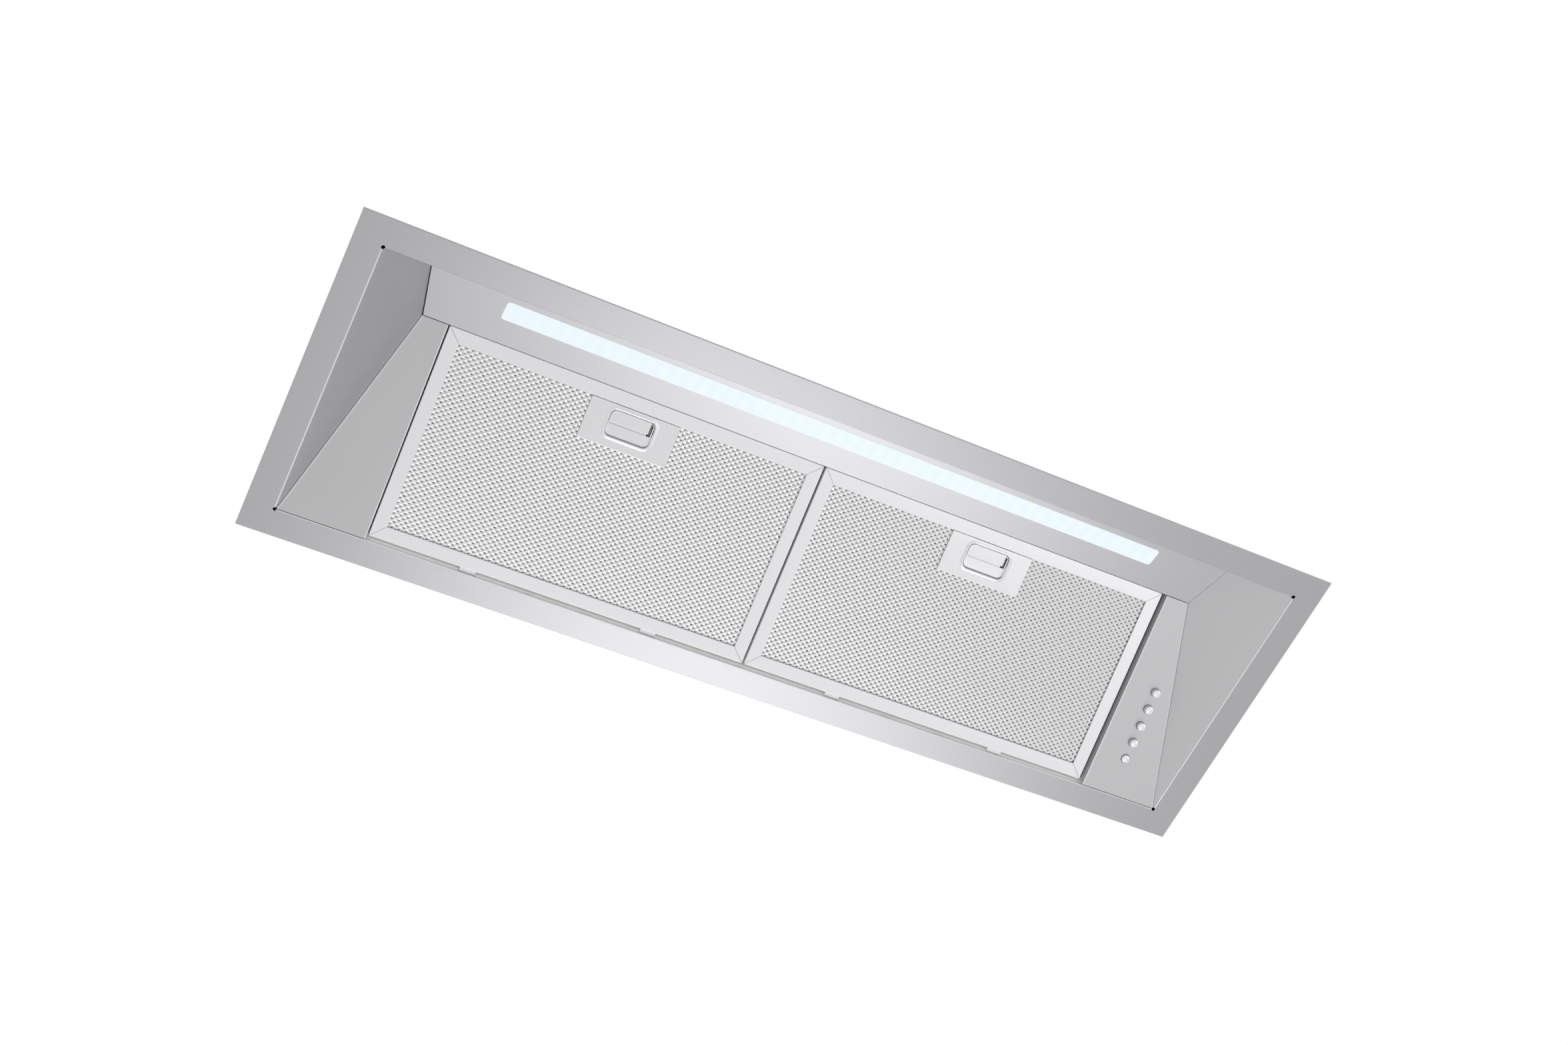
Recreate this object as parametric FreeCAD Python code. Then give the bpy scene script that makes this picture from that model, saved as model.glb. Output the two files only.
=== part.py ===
"""Range hood insert, 900 mm class, in millimetres.

Origin: centre of the flange's underside.  +X to the right and -Y to the front as the cook stands, +Z up.
The flange underside is z = 0; everything else lies above it, inside the cabinet.
"""
import FreeCAD, Part
import math
import os
from FreeCAD import Placement, Rotation, Vector

os.makedirs("parts", exist_ok=True)

# Canopy: one folded stainless sheet
flange_width = 900.0
flange_depth = 300.0
flange_border = 25.0
canopy_sheet = 1.0
hem_width = 9.0
recess_height = 54.0
light_panel_reach = 64.5
front_return_height = 40.0
return_overlap = 12.0
wall_overlap = 3.0
rear_return_height = 3.0
corner_relief_radius = 1.6
past = 1.0  # how far a cutting shape runs past the face that it opens

# Sloping panels in the recess
panel_sheet = 0.8
panel_gap = 0.5
panel_fold = 10.0
wing_foot_width = 78.0
wing_wall_gap = 1.3
wing_fold = 9.0
wing_fold_end_gap = 5.0
catch_side_clearance = 1.0
catch_above_panel = 1.0
catch_height = 5.0

# Lamp
led_window_width = 17.4
led_window_corner = 6.0
led_window_end_margin = 114.0
led_window_from_crease = 24.6
led_lens_gap = 0.35
led_lens_proud = 0.3
led_lens_rim = 4.0
led_lens_thickness = 1.5
led_channel_height = 13.0
led_channel_wall = 1.0
led_board_width = 12.0
led_board_thickness = 1.2
led_chip_size = 3.0
led_chip_height = 0.8
led_chip_pitch = 12.5

# Push buttons and their switch
button_radius = 4.0
button_pitch = 17.0
button_first_from_rear = 37.0
button_from_opening_edge = 48.5
button_proud = 5.2
button_travel = 3.0
button_length = 14.2
button_edge_round = 1.2
button_hole_clearance = 0.3
running_clearance = 0.05
switch_block_width = 22.0
switch_block_end_margin = 10.6
switch_block_start = 2.4
switch_block_height = 21.6
switch_bore_bottom = 17.0
bracket_width = 25.0
bracket_ear_height = 12.0
bracket_end_margin = 6.0
terminal_blade = (0.8, 6.3, 6.0)
terminal_spacing = 10.0
button_spring_radius = 2.6
button_spring_wire = 0.35
button_spring_turns = 3

# Grease filters
filter_thickness = 8.5
filter_sheet = 0.8
filter_rail_width = 12.0
filter_split_gap = 2.0
filter_side_clearance = 3.0
filter_sideways_set = -2.0
filter_rear_gap = 4.6
filter_front_gap = 0.6
tab_width = 14.0
tab_offset = 83.0
tab_sheet = 0.8
tab_reach = 3.2
mesh_sheet = 0.8
mesh_layer_gap = 0.1
mesh_latch_gap = 0.7
mesh_core_layers = 2
mesh_hole_pitch_x = 20.0
mesh_hole_pitch_y = 12.0
mesh_hole_length = 14.0
mesh_hole_width = 5.0
mesh_hole_border = 20.0

# Filter latches
latch_plate_width = 81.0
latch_plate_depth = 38.0
latch_sheet = 0.8
recess_width = 40.0
recess_depth_along = 23.0
recess_corner = 5.0
recess_floor = 1.6
recess_from_rail = 4.7
slider_sheet = 0.8
slider_inset = 0.5
slider_side_gap = 0.4
slider_length = 10.5
slot_width = 1.8
side_slot_width = 3.4
post_half_width = 3.5
post_length = 2.5
post_from_front = 3.4
tongue_half_width = 9.0
tongue_level = 2.8
tongue_proud = 0.15
tongue_tail = 1.0
latch_travel = 6.0
latch_spring_radius = 1.4
latch_spring_wire = 0.4
latch_spring_turns = 7
latch_ear_height = 3.2
spring_stop_half_width = 2.0
spring_stop_gap = 0.2

# Rear rail
rail_sheet = 0.8
rail_height = 16.0
rail_end_gap = 2.0
rail_slot_clearance = 0.6
rail_slot_half_height = 1.9
rail_pivot_height = 4.0
spare_slot_width = 11.0
spare_slot_offset = 27.0

# Lower housing
housing_margin = 7.0
housing_sheet = 0.8
deck_height = 111.0
end_lip = 10.0
end_lip_gap = 1.0
front_wall_clearance = 1.8
front_bend_height = 50.0
front_set_back = 24.6
front_foot = 3.5
end_hole_radius = 2.75
end_hole_spacing = 180.0
end_hole_height = 75.0
clip_width = 22.0
clip_sheet = 1.0
clip_spacing = 110.0
clip_bulge = 12.0
clip_tip_out = 3.2
clip_tip_height = 22.0
clip_foot_below_deck = 6.0
clip_foot_height = 18.0
clip_screw_below_deck = 14.0

# Blower
case_width = 300.0
case_rear_margin = 11.0
case_depth = 171.5
case_sheet = 0.8
case_foot = 10.0
case_top = 250.0
cover_lip = 9.0
scroll_from_case_rear = 97.0
scroll_centre_height = 160.0
scroll_half_width = 52.0
scroll_wall = 2.0
scroll_start_radius = 66.0
scroll_end_radius = 90.0
scroll_tongue_angle = 60.0
scroll_spiral_spans = 8
scroll_rim = 10.0
inlet_radius = 50.0
impeller_radius = 62.0
impeller_half_width = 47.0
blade_count = 36
blade_depth = 10.0
blade_thickness = 1.2
blade_lean = -28.0
blade_rim_inset = 0.3
impeller_ring = 2.0
impeller_disc = 2.0
hub_radius = 9.0
hub_start = -6.0
hub_end = 8.0
shaft_radius = 4.0
shaft_start = -44.0
motor_radius = 36.0
motor_edge_round = 4.0
motor_start = -62.0
motor_end = -10.0
motor_bore_bottom = -45.0
bracket_disc_radius = 38.0
bracket_sheet = 2.0
bracket_arm_width = 14.0
bush_radius = 6.0
bush_circle_radius = 61.0
bush_count = 3
bush_first_angle = 60.0

# Outlet collar and damper
duct_radius = 74.5
collar_wall = 2.5
collar_base = 156.0
collar_base_thickness = 2.5
collar_base_corner = 8.0
collar_height = 47.0
collar_lead_in = 1.0
collar_screw_offset = 68.0
ledge_width = 5.5
ledge_thickness = 2.0
damper_pin_radius = 1.5
damper_pin_above_base = 5.2
flap_edge_clearance = 1.2
flap_radius = duct_radius - collar_wall - flap_edge_clearance
flap_thickness = 1.2
flap_stop_gap = 0.3
knuckle_radius = 3.0
knuckle_clearance = 0.4
knuckle_end_gap = 8.8
knuckle_middle = 4.0
knuckle_gap = 2.0
knuckle_length = (flap_radius - knuckle_end_gap - knuckle_middle - knuckle_gap) / 2

# Electrics on the deck
control_box_start = 190.0
control_box_length = 140.0
control_box_width = 84.0
control_box_height = 42.0
control_box_wall = 2.0
control_box_corner = 4.0
lid_thickness = 2.5
lid_overhang = 1.0
lid_boss_radius = 4.0
capacitor_radius = 15.0
capacitor_length = 58.0
capacitor_inset = 14.0
driver_size = (72.0, 32.0, 22.0)
driver_inset = 12.0
driver_corner = 3.0
terminal_size = (46.0, 18.0, 14.0)
terminal_inset = 12.0
gland_radius = 9.0
gland_hole_radius = 4.0
gland_length = 16.0
gland_inside = 6.0
gland_flange_radius = 11.5
gland_flange_thickness = 3.0
lead_port_radius = 14.0
lead_radius = 2.5
motor_lead_radius = 3.0
lead_hole_clearance = 0.3
case_lead_clearance = 1.5

# Screws
screw_head_radius = 4.0
screw_head_height = 2.2
screw_shank_radius = 1.6
screw_hole_radius = 1.6
screw_shank_length = 6.0
screw_head_round = 1.3
end_screw_spacing = 90.0
case_screw_spacing = 140.0
lid_screw_inset = 7.0

# Worked out from the sizes above
opening_x = flange_width / 2 - flange_border
opening_y = flange_depth / 2 - flange_border
crease_y = -opening_y + light_panel_reach
slope_rise = math.atan2(recess_height, opening_y - crease_y)
slope_length = math.hypot(recess_height, opening_y - crease_y)
panel_rise = math.atan2(recess_height - front_return_height, light_panel_reach)
panel_length = math.hypot(recess_height - front_return_height, light_panel_reach)
wing_inner_x = opening_x - wing_foot_width
filter_width = wing_inner_x - filter_split_gap / 2 - filter_side_clearance
filter_front = slope_length - filter_front_gap
housing_x = opening_x + housing_margin
housing_y = opening_y + housing_margin
housing_front = opening_y + canopy_sheet + front_wall_clearance + housing_sheet
case_rear = housing_y - case_rear_margin
case_front = case_rear - case_depth
scroll_centre_y = case_rear - scroll_from_case_rear
outlet_y = case_rear - collar_base / 2
button_x = opening_x - button_from_opening_edge
button_places = [button_first_from_rear + button_pitch * step for step in range(5)]
slope_frame = Placement(Vector(0, opening_y, 0), Rotation(Vector(1, 0, 0), -math.degrees(slope_rise)))
panel_frame = Placement(
    Vector(0, crease_y, recess_height), Rotation(Vector(1, 0, 0), math.degrees(panel_rise)))
far = 4 * flange_width


def box(low, high):
    """Box between two corners."""
    size = [b - a for a, b in zip(low, high)]
    return Part.makeBox(size[0], size[1], size[2], Vector(*low))


def rod(start, direction, radius, length):
    """Solid cylinder from a start point along a direction."""
    return Part.makeCylinder(radius, length, Vector(*start), Vector(*direction))


def tube(start, direction, outer, inner, length):
    """Round tube from a start point along a direction."""
    return rod(start, direction, outer, length).cut(rod(start, direction, inner, length))


def prism(points, thickness):
    """Flat outline through the points, made solid along the thickness vector."""
    corners = [Vector(*point) for point in points]
    return Part.Face(Part.makePolygon(corners + corners[:1])).extrude(Vector(*thickness))


def rounded_box(low, high, radius):
    """Box whose four upright edges are rounded."""
    block = box(low, high)
    upright = [edge for edge in block.Edges if abs(edge.tangentAt(edge.FirstParameter).z) > 0.9]
    return block.makeFillet(radius, upright)


def fuse(solids):
    """One solid from touching or overlapping ones."""
    return solids[0].multiFuse(solids[1:]).removeSplitter()


def placed(shape, frame):
    """Shape drawn flat, set on one of the sloping planes."""
    moved = shape.copy()
    moved.Placement = frame.multiply(moved.Placement)
    return moved


def coil(radius, wire_radius, length, turns):
    """Coil spring along +Z from the origin, its turns made of half-turn arcs."""
    rise = length / turns
    edges = []
    for half in range(2 * turns):
        points = []
        for quarter in range(3):
            angle = math.pi * (half + quarter / 2)
            height = rise * (half + quarter / 2) / 2
            points.append(Vector(radius * math.cos(angle), radius * math.sin(angle), height))
        edges.append(Part.Arc(*points).toShape())
    path = Part.Wire(edges)
    points = path.discretize(24 * turns + 1)
    nearest = min(a.distanceToPoint(b) for place, a in enumerate(points) for b in points[place + 12:])
    print("coil gap %.2f mm" % (nearest - 2 * wire_radius))
    start = edges[0].valueAt(edges[0].FirstParameter)
    heading = edges[0].tangentAt(edges[0].FirstParameter)
    section = Part.Wire(Part.makeCircle(wire_radius, start, heading))
    return path.makePipeShell([section], True, False)


def lead(route, radius):
    """Round lead along straight runs joined by arcs as large as the runs allow."""
    points = [Vector(*point) for point in route]
    edges = []
    start = points[0]
    for before, corner, after in zip(points, points[1:], points[2:]):
        inward = (corner - before).normalize()
        outward = (after - corner).normalize()
        turn = math.acos(inward.dot(outward))
        reach = 0.45 * min(before.distanceToPoint(corner), corner.distanceToPoint(after))
        print("lead radius %.1f mm" % (reach / math.tan(turn / 2)))
        arc_start = corner - inward * reach
        arc_end = corner + outward * reach
        bulge = (arc_start + arc_end) * 0.5 - corner
        bend = reach / math.tan(turn / 2)
        middle = corner + bulge.normalize() * (bend / math.cos(turn / 2) - bend)
        edges.append(Part.LineSegment(start, arc_start).toShape())
        edges.append(Part.Arc(arc_start, middle, arc_end).toShape())
        start = arc_end
    edges.append(Part.LineSegment(start, points[-1]).toShape())
    section = Part.Wire(Part.makeCircle(radius, points[0], points[1] - points[0]))
    return Part.Wire(edges).makePipeShell([section], True, False)


def make_canopy_frame():
    """Flange, 45 degree end walls, front return and small rear return, folded from one sheet."""
    outer = [flange_width / 2, flange_depth / 2]
    flange = box((-outer[0], -outer[1], 0), (outer[0], outer[1], canopy_sheet))
    hem = box((-outer[0], -outer[1], canopy_sheet), (outer[0], outer[1], 2 * canopy_sheet))
    inside_hem = [edge - hem_width for edge in outer]
    hem = hem.cut(box((-inside_hem[0], -inside_hem[1], 0), (inside_hem[0], inside_hem[1], far)))
    opening = box((-opening_x, -opening_y, -past), (opening_x, opening_y, far))
    pieces = [flange.cut(opening), hem]
    front_top = front_return_height + return_overlap
    for low_y, height in ((-opening_y - canopy_sheet, front_top), (opening_y, rear_return_height)):
        outline = [
            (-opening_x, low_y, 0), (opening_x, low_y, 0),
            (opening_x - height, low_y, height), (height - opening_x, low_y, height)]
        pieces.append(prism(outline, (0, canopy_sheet, 0)))
    outward = canopy_sheet / math.sqrt(2)
    edge_line = [
        (-opening_y - canopy_sheet, 0), (-opening_y - canopy_sheet, front_return_height + wall_overlap),
        (crease_y, recess_height + wall_overlap), (opening_y, wall_overlap),
        (opening_y + canopy_sheet, wall_overlap / 2), (opening_y + canopy_sheet, 0)]
    for side in (-1, 1):
        outline = [(side * (opening_x - height), y, height) for y, height in edge_line]
        pieces.append(prism(outline, (side * outward, 0, outward)))
    frame = fuse(pieces)
    for x in (-opening_x, opening_x):
        for y in (-opening_y, opening_y):
            relief_length = past + 2 * corner_relief_radius
            frame = frame.cut(rod((x, y, -past), (0, 0, 1), corner_relief_radius, relief_length))
    half_notch = tab_width / 2 + rail_slot_clearance
    for x in tab_places(-1) + tab_places(1):
        frame = frame.cut(box((x - half_notch, opening_y - past, canopy_sheet),
                              (x + half_notch, opening_y + canopy_sheet, rear_return_height + past)))
    return frame


def latch_x(side):
    """Centre line of one filter, its tabs and its latch."""
    return side * (filter_width + filter_split_gap) / 2 + filter_sideways_set


def tab_places(side):
    """Centre lines of one filter's two rear tabs."""
    return [latch_x(side) - tab_offset, latch_x(side) + tab_offset]


def make_light_panel():
    """Sloping panel with the lamp window, folded up along its front and rear edges."""
    rear_x = opening_x - recess_height - wing_wall_gap
    front_x = opening_x - front_return_height - wing_wall_gap
    front = panel_gap - panel_length
    sheet = prism([(-front_x, front, 0), (front_x, front, 0), (rear_x, 0, 0), (-rear_x, 0, 0)],
                  (0, 0, panel_sheet))
    fold_x = rear_x - panel_fold
    rear_fold = box((-fold_x, -panel_sheet, 0), (fold_x, 0, panel_fold))
    lean = panel_fold * math.tan(panel_rise)
    behind = front + panel_sheet
    front_fold = prism([(-fold_x, front, 0), (-fold_x, behind, 0), (-fold_x, behind + lean, panel_fold),
                        (-fold_x, front + lean, panel_fold)], (2 * fold_x, 0, 0))
    panel = fuse([sheet, rear_fold, front_fold])
    half_window = opening_x - led_window_end_margin
    near = -led_window_from_crease
    window = rounded_box(
        (-half_window, near - led_window_width, -past), (half_window, near, panel_sheet + past),
        led_window_corner)
    panel = panel.cut(window)
    half_slot = tongue_half_width + catch_side_clearance
    catch_low = panel_sheet + catch_above_panel
    for side in (-1, 1):
        panel = panel.cut(box((latch_x(side) - half_slot, -panel_sheet - past, catch_low),
                              (latch_x(side) + half_slot, past, catch_low + catch_height)))
    return placed(panel, panel_frame)


def make_lamp():
    """Lens, carrier channel, board and diodes, in the light panel's plane."""
    half_window = opening_x - led_window_end_margin
    centre = -led_window_from_crease - led_window_width / 2
    half_lens = led_window_width / 2 - led_lens_gap
    lens_x = half_window - led_lens_gap
    lens = rounded_box((-lens_x, centre - half_lens, -led_lens_proud),
                       (lens_x, centre + half_lens, panel_sheet), led_window_corner - led_lens_gap)
    rim = box((-lens_x - led_lens_rim, centre - half_lens - led_lens_rim, panel_sheet),
              (lens_x + led_lens_rim, centre + half_lens + led_lens_rim, panel_sheet + led_lens_thickness))
    half_inside = half_lens + led_lens_rim + led_lens_gap
    half_outside = half_inside + led_channel_wall
    channel_x = lens_x + led_lens_rim + led_lens_gap
    top = panel_sheet + led_channel_height
    channel = box((-channel_x, centre - half_outside, panel_sheet), (channel_x, centre + half_outside, top))
    channel = channel.cut(box((-far, centre - half_inside, 0), (far, centre + half_inside,
                                                                top - led_channel_wall)))
    board_top = top - led_channel_wall
    board_x = lens_x - led_lens_rim
    board = box((-board_x, centre - led_board_width / 2, board_top - led_board_thickness),
                (board_x, centre + led_board_width / 2, board_top))
    chip_top = board_top - led_board_thickness
    count = int(2 * (board_x - led_chip_pitch / 2) / led_chip_pitch)
    half_chip = led_chip_size / 2
    chips = []
    for number in range(count):
        x = (number - (count - 1) / 2) * led_chip_pitch
        chips.append(box((x - half_chip, centre - half_chip, chip_top - led_chip_height),
                         (x + half_chip, centre + half_chip, chip_top)))
    return {
        "led_diffuser": placed(fuse([lens, rim]), panel_frame),
        "led_channel": placed(channel, panel_frame),
        "led_board": placed(board, panel_frame),
        "led_chips": placed(Part.Compound(chips), panel_frame)}


def make_wing(side):
    """Sloping filler panel between an end wall and the filters, with a fold beside the filter."""
    rear = panel_gap
    front = slope_length - panel_gap
    outer = [opening_x - s * math.sin(slope_rise) - wing_wall_gap for s in (rear, front)]
    outline = [(side * wing_inner_x, -rear, 0), (side * outer[0], -rear, 0),
               (side * outer[1], -front, 0), (side * wing_inner_x, -front, 0)]
    sheet = prism(outline, (0, 0, panel_sheet))
    fold_x = sorted((side * wing_inner_x, side * (wing_inner_x + panel_sheet)))
    fold = box((fold_x[0], -front, 0), (fold_x[1], -rear - wing_fold_end_gap, wing_fold))
    return fuse([sheet, fold])


def make_right_control_panel():
    """Right filler panel with the five button holes."""
    panel = make_wing(1)
    for place in button_places:
        hole_radius = button_radius + button_hole_clearance
        panel = panel.cut(rod((button_x, -place, -past), (0, 0, 1), hole_radius, panel_sheet + 2 * past))
    return panel


def make_button(place, pressed):
    """Round plunger with a softened tip, square to the control panel."""
    start = pressed - button_proud
    plunger = rod((button_x, -place, start), (0, 0, 1), button_radius, button_length)
    tip = [edge for edge in plunger.Edges if edge.BoundBox.ZMax < start + button_edge_round]
    return placed(plunger.makeFillet(button_edge_round, tip), slope_frame)


def make_switch():
    """Five-key switch with its bracket, contact blades and return springs."""
    low = button_places[0] - switch_block_end_margin
    high = button_places[-1] + switch_block_end_margin
    half = switch_block_width / 2
    top = switch_block_start + switch_block_height
    block = box((button_x - half, -high, switch_block_start), (button_x + half, -low, top))
    bracket = box((button_x - bracket_width / 2, -high - bracket_end_margin, panel_sheet),
                  (button_x + bracket_width / 2, -low + bracket_end_margin, 2 * panel_sheet))
    ears = [box((button_x - half, -high - panel_sheet, panel_sheet),
                (button_x + half, -high, bracket_ear_height)),
            box((button_x - half, -low, panel_sheet),
                (button_x + half, -low + panel_sheet, bracket_ear_height))]
    bracket = fuse([bracket] + ears)
    springs = []
    blades = []
    for number, place in enumerate(button_places):
        centre = (button_x, -place)
        depth = switch_bore_bottom - switch_block_start
        bore_radius = button_radius + running_clearance
        block = block.cut(rod((centre[0], centre[1], switch_block_start), (0, 0, 1), bore_radius, depth))
        hole = button_radius + button_hole_clearance
        bracket = bracket.cut(rod((centre[0], centre[1], 0), (0, 0, 1), hole, 2 * panel_sheet + past))
        pressed = button_travel if number == 0 else 0
        spring_start = button_length - button_proud + pressed + button_spring_wire
        spring_length = switch_bore_bottom - spring_start - button_spring_wire
        spring = coil(button_spring_radius, button_spring_wire, spring_length, button_spring_turns)
        spring.translate(Vector(centre[0], centre[1], spring_start))
        springs.append(spring)
        for x in (button_x - terminal_spacing / 2, button_x + terminal_spacing / 2):
            blades.append(box((x - terminal_blade[0] / 2, -place - terminal_blade[1] / 2, top),
                              (x + terminal_blade[0] / 2, -place + terminal_blade[1] / 2,
                               top + terminal_blade[2])))
    return {
        "switch_block": placed(block, slope_frame),
        "switch_bracket": placed(bracket, slope_frame),
        "switch_terminals": placed(Part.Compound(blades), slope_frame),
        "button_springs": placed(Part.Compound(springs), slope_frame)}


def make_filter_frame(centre):
    """Channel frame folded round the mesh, with two rear tabs and the slot for the latch tongue."""
    low_x = centre - filter_width / 2
    high_x = centre + filter_width / 2
    skin = filter_sheet
    frame = box((low_x, -filter_front, 0), (high_x, -filter_rear_gap, filter_thickness))
    frame = frame.cut(box((low_x + skin, -filter_front + skin, skin),
                          (high_x - skin, -filter_rear_gap - skin, filter_thickness - skin)))
    rail = filter_rail_width
    frame = frame.cut(box((low_x + rail, -filter_front + rail, -past),
                          (high_x - rail, -filter_rear_gap - rail, filter_thickness + past)))
    level = pivot_level()
    tabs = []
    for x in (centre - tab_offset, centre + tab_offset):
        tabs.append(box((x - tab_width / 2, -filter_rear_gap - skin, level - tab_sheet / 2),
                        (x + tab_width / 2, tab_reach, level + tab_sheet / 2)))
    frame = fuse([frame] + tabs)
    slot_x = tongue_half_width + slider_side_gap
    return frame.cut(box((centre - slot_x, -filter_front - past, tongue_level - slider_side_gap),
                         (centre + slot_x, -filter_front + skin + slider_side_gap,
                          tongue_level + slider_sheet + slider_side_gap)))


def pivot_level():
    """Height of the tabs above the filter's outer face, so that they lie on the pivot in the rail."""
    behind = canopy_sheet + rail_sheet / 2
    return behind * math.sin(slope_rise) + rail_pivot_height * math.cos(slope_rise)


def recess_centre():
    """Distance of the finger recess's centre from the canopy's rear inner edge."""
    return filter_front - filter_rail_width - recess_from_rail - recess_depth_along / 2


def make_mesh(centre, low, high, notched, holed):
    """One mesh layer, cut away behind the latch and, on the face that shows, pierced with lozenges."""
    inset = filter_sheet + mesh_layer_gap
    low_x = centre - filter_width / 2 + inset
    high_x = centre + filter_width / 2 - inset
    layer = box((low_x, -filter_front + inset, low), (high_x, -filter_rear_gap - inset, high))
    notch_x = recess_width / 2 + latch_sheet + mesh_latch_gap
    notch_rear = recess_centre() - recess_depth_along / 2 - latch_sheet - mesh_latch_gap
    if holed:
        layer = layer.cut(Part.Compound(mesh_holes(centre, low, high)))
    if notched:
        layer = layer.cut(box((centre - notch_x, -far, low - past),
                              (centre + notch_x, -notch_rear, high + past)))
    return layer


def mesh_holes(centre, low, high):
    """Staggered rows of lozenge openings, clear of the rails and of the latch plate."""
    half_x = filter_width / 2 - mesh_hole_border
    rear = filter_rear_gap + mesh_hole_border
    front = filter_front - mesh_hole_border
    rows = int((front - rear) / mesh_hole_pitch_y)
    columns = int(2 * half_x / mesh_hole_pitch_x)
    plate_rear = filter_front - filter_rail_width - latch_plate_depth - mesh_hole_pitch_y / 2
    plate_x = latch_plate_width / 2 + mesh_hole_length / 2
    half_length = mesh_hole_length / 2
    half_width = mesh_hole_width / 2
    holes = []
    for row in range(rows + 1):
        place = rear + row * mesh_hole_pitch_y
        stagger = mesh_hole_pitch_x / 2 * (row % 2)
        for column in range(columns + 1 - row % 2):
            x = centre - columns * mesh_hole_pitch_x / 2 + column * mesh_hole_pitch_x + stagger
            if abs(x - centre) < plate_x and place > plate_rear:
                continue
            outline = [(x - half_length, -place, low - past), (x, -place - half_width, low - past),
                       (x + half_length, -place, low - past), (x, -place + half_width, low - past)]
            holes.append(prism(outline, (0, 0, high - low + 2 * past)))
    return holes


def make_latch_plate(centre):
    """Pressed plate with a rounded finger recess, an L-shaped slot and a stop for the spring."""
    front = filter_front - filter_rail_width
    middle = recess_centre()
    half_x = recess_width / 2
    half_y = recess_depth_along / 2
    plate = box((centre - latch_plate_width / 2, -front, 0),
                (centre + latch_plate_width / 2, -front + latch_plate_depth, latch_sheet))
    pan = rounded_box((centre - half_x - latch_sheet, -middle - half_y - latch_sheet, latch_sheet / 2),
                      (centre + half_x + latch_sheet, -middle + half_y + latch_sheet,
                       recess_floor + latch_sheet), recess_corner + latch_sheet)
    stop = box((spring_x(centre) - spring_stop_half_width, -spring_stop(), recess_floor + latch_sheet / 2),
               (spring_x(centre) + spring_stop_half_width, -spring_stop() + latch_sheet,
                tongue_level + latch_ear_height))
    pressed = rounded_box((centre - half_x, -middle - half_y, -past),
                          (centre + half_x, -middle + half_y, recess_floor), recess_corner)
    plate = fuse([plate, pan, stop]).cut(pressed)
    inner_x = half_x - slider_side_gap
    above = recess_floor + latch_sheet + past
    across = box((centre - inner_x, -slot_start(), 0),
                 (centre + inner_x, -slot_start() + slot_width, above))
    beside = box((centre + inner_x - side_slot_width, -slot_start() - slider_length, 0),
                 (centre + inner_x, -slot_start(), above))
    post_front = slot_start() + slider_length - post_from_front
    guide = box((centre - post_half_width - slider_side_gap, -post_front - slider_side_gap, 0),
                (centre + post_half_width + slider_side_gap,
                 -post_front + post_length + latch_travel + slider_side_gap, above))
    return plate.cut(across).cut(beside).cut(guide)


def slot_start():
    """Place of the slider's rear edge."""
    return recess_centre() + recess_depth_along / 2 - slider_side_gap - slider_length


def spring_stop():
    """Place of the plate's lug that the latch spring bears on."""
    return slot_start() - slot_width - spring_stop_gap


def spring_x(centre):
    """Line of the latch spring, in the slot beside the slider."""
    return centre + recess_width / 2 - slider_side_gap - side_slot_width / 2


def make_latch_slider(centre):
    """Slider with its post, tongue and spring ear, bent from one strip."""
    inner_x = recess_width / 2 - slider_side_gap
    rear = slot_start()
    front = rear + slider_length
    top = slider_inset + slider_sheet
    face = box((centre - inner_x, -front, slider_inset), (centre + inner_x - side_slot_width, -rear, top))
    middle = recess_centre()
    inner_y = recess_depth_along / 2 - slider_side_gap
    face = face.common(rounded_box((centre - inner_x, -middle - inner_y, 0),
                                   (centre + inner_x, -middle + inner_y, recess_floor), recess_corner))
    post_front = front - post_from_front
    post = box((centre - post_half_width, -post_front, top - slider_sheet / 2),
               (centre + post_half_width, -post_front + post_length, tongue_level + slider_sheet))
    tongue_rear = post_front - post_length - tongue_tail
    tongue = box((centre - tongue_half_width, -filter_front - tongue_proud, tongue_level),
                 (centre + tongue_half_width, -tongue_rear, tongue_level + slider_sheet))
    ear_front = front - slider_side_gap
    arm = box((centre, -ear_front, tongue_level),
              (spring_x(centre) + latch_spring_radius + latch_spring_wire, -ear_front + slider_sheet,
               tongue_level + latch_ear_height))
    return fuse([face, post, tongue, arm])


def make_latch_spring(centre):
    """Coil spring between the plate's stop and the slider's ear."""
    ear = slot_start() + slider_length - slider_side_gap - slider_sheet
    length = ear - spring_stop() - 4 * latch_spring_wire
    spring = coil(latch_spring_radius, latch_spring_wire, length, latch_spring_turns)
    spring.rotate(Vector(0, 0, 0), Vector(1, 0, 0), 90)
    level = tongue_level + latch_spring_radius + latch_spring_wire
    spring.translate(Vector(spring_x(centre), -spring_stop() - 2 * latch_spring_wire, level))
    return spring


def make_filter(name, side):
    """One grease filter with its latch, all on the sloping plane."""
    centre = latch_x(side)
    inside = filter_sheet + mesh_layer_gap
    outer_top = inside + mesh_sheet
    back_low = filter_thickness - inside - mesh_sheet
    core_gap = (back_low - outer_top - mesh_core_layers * mesh_sheet) / (mesh_core_layers + 1)
    core = []
    for layer in range(mesh_core_layers):
        low = outer_top + core_gap + layer * (mesh_sheet + core_gap)
        core.append(make_mesh(centre, low, low + mesh_sheet, True, False))
    pieces = {
        "filter_frame": make_filter_frame(centre),
        "filter_outer_mesh": make_mesh(centre, inside, outer_top, True, True),
        "filter_core_mesh": Part.Compound(core),
        "filter_back_mesh": make_mesh(centre, back_low, back_low + mesh_sheet, False, False),
        "latch_plate": make_latch_plate(centre),
        "latch_slider": make_latch_slider(centre),
        "latch_spring": make_latch_spring(centre)}
    return {name + "_" + piece: placed(shape, slope_frame) for piece, shape in pieces.items()}


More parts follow.
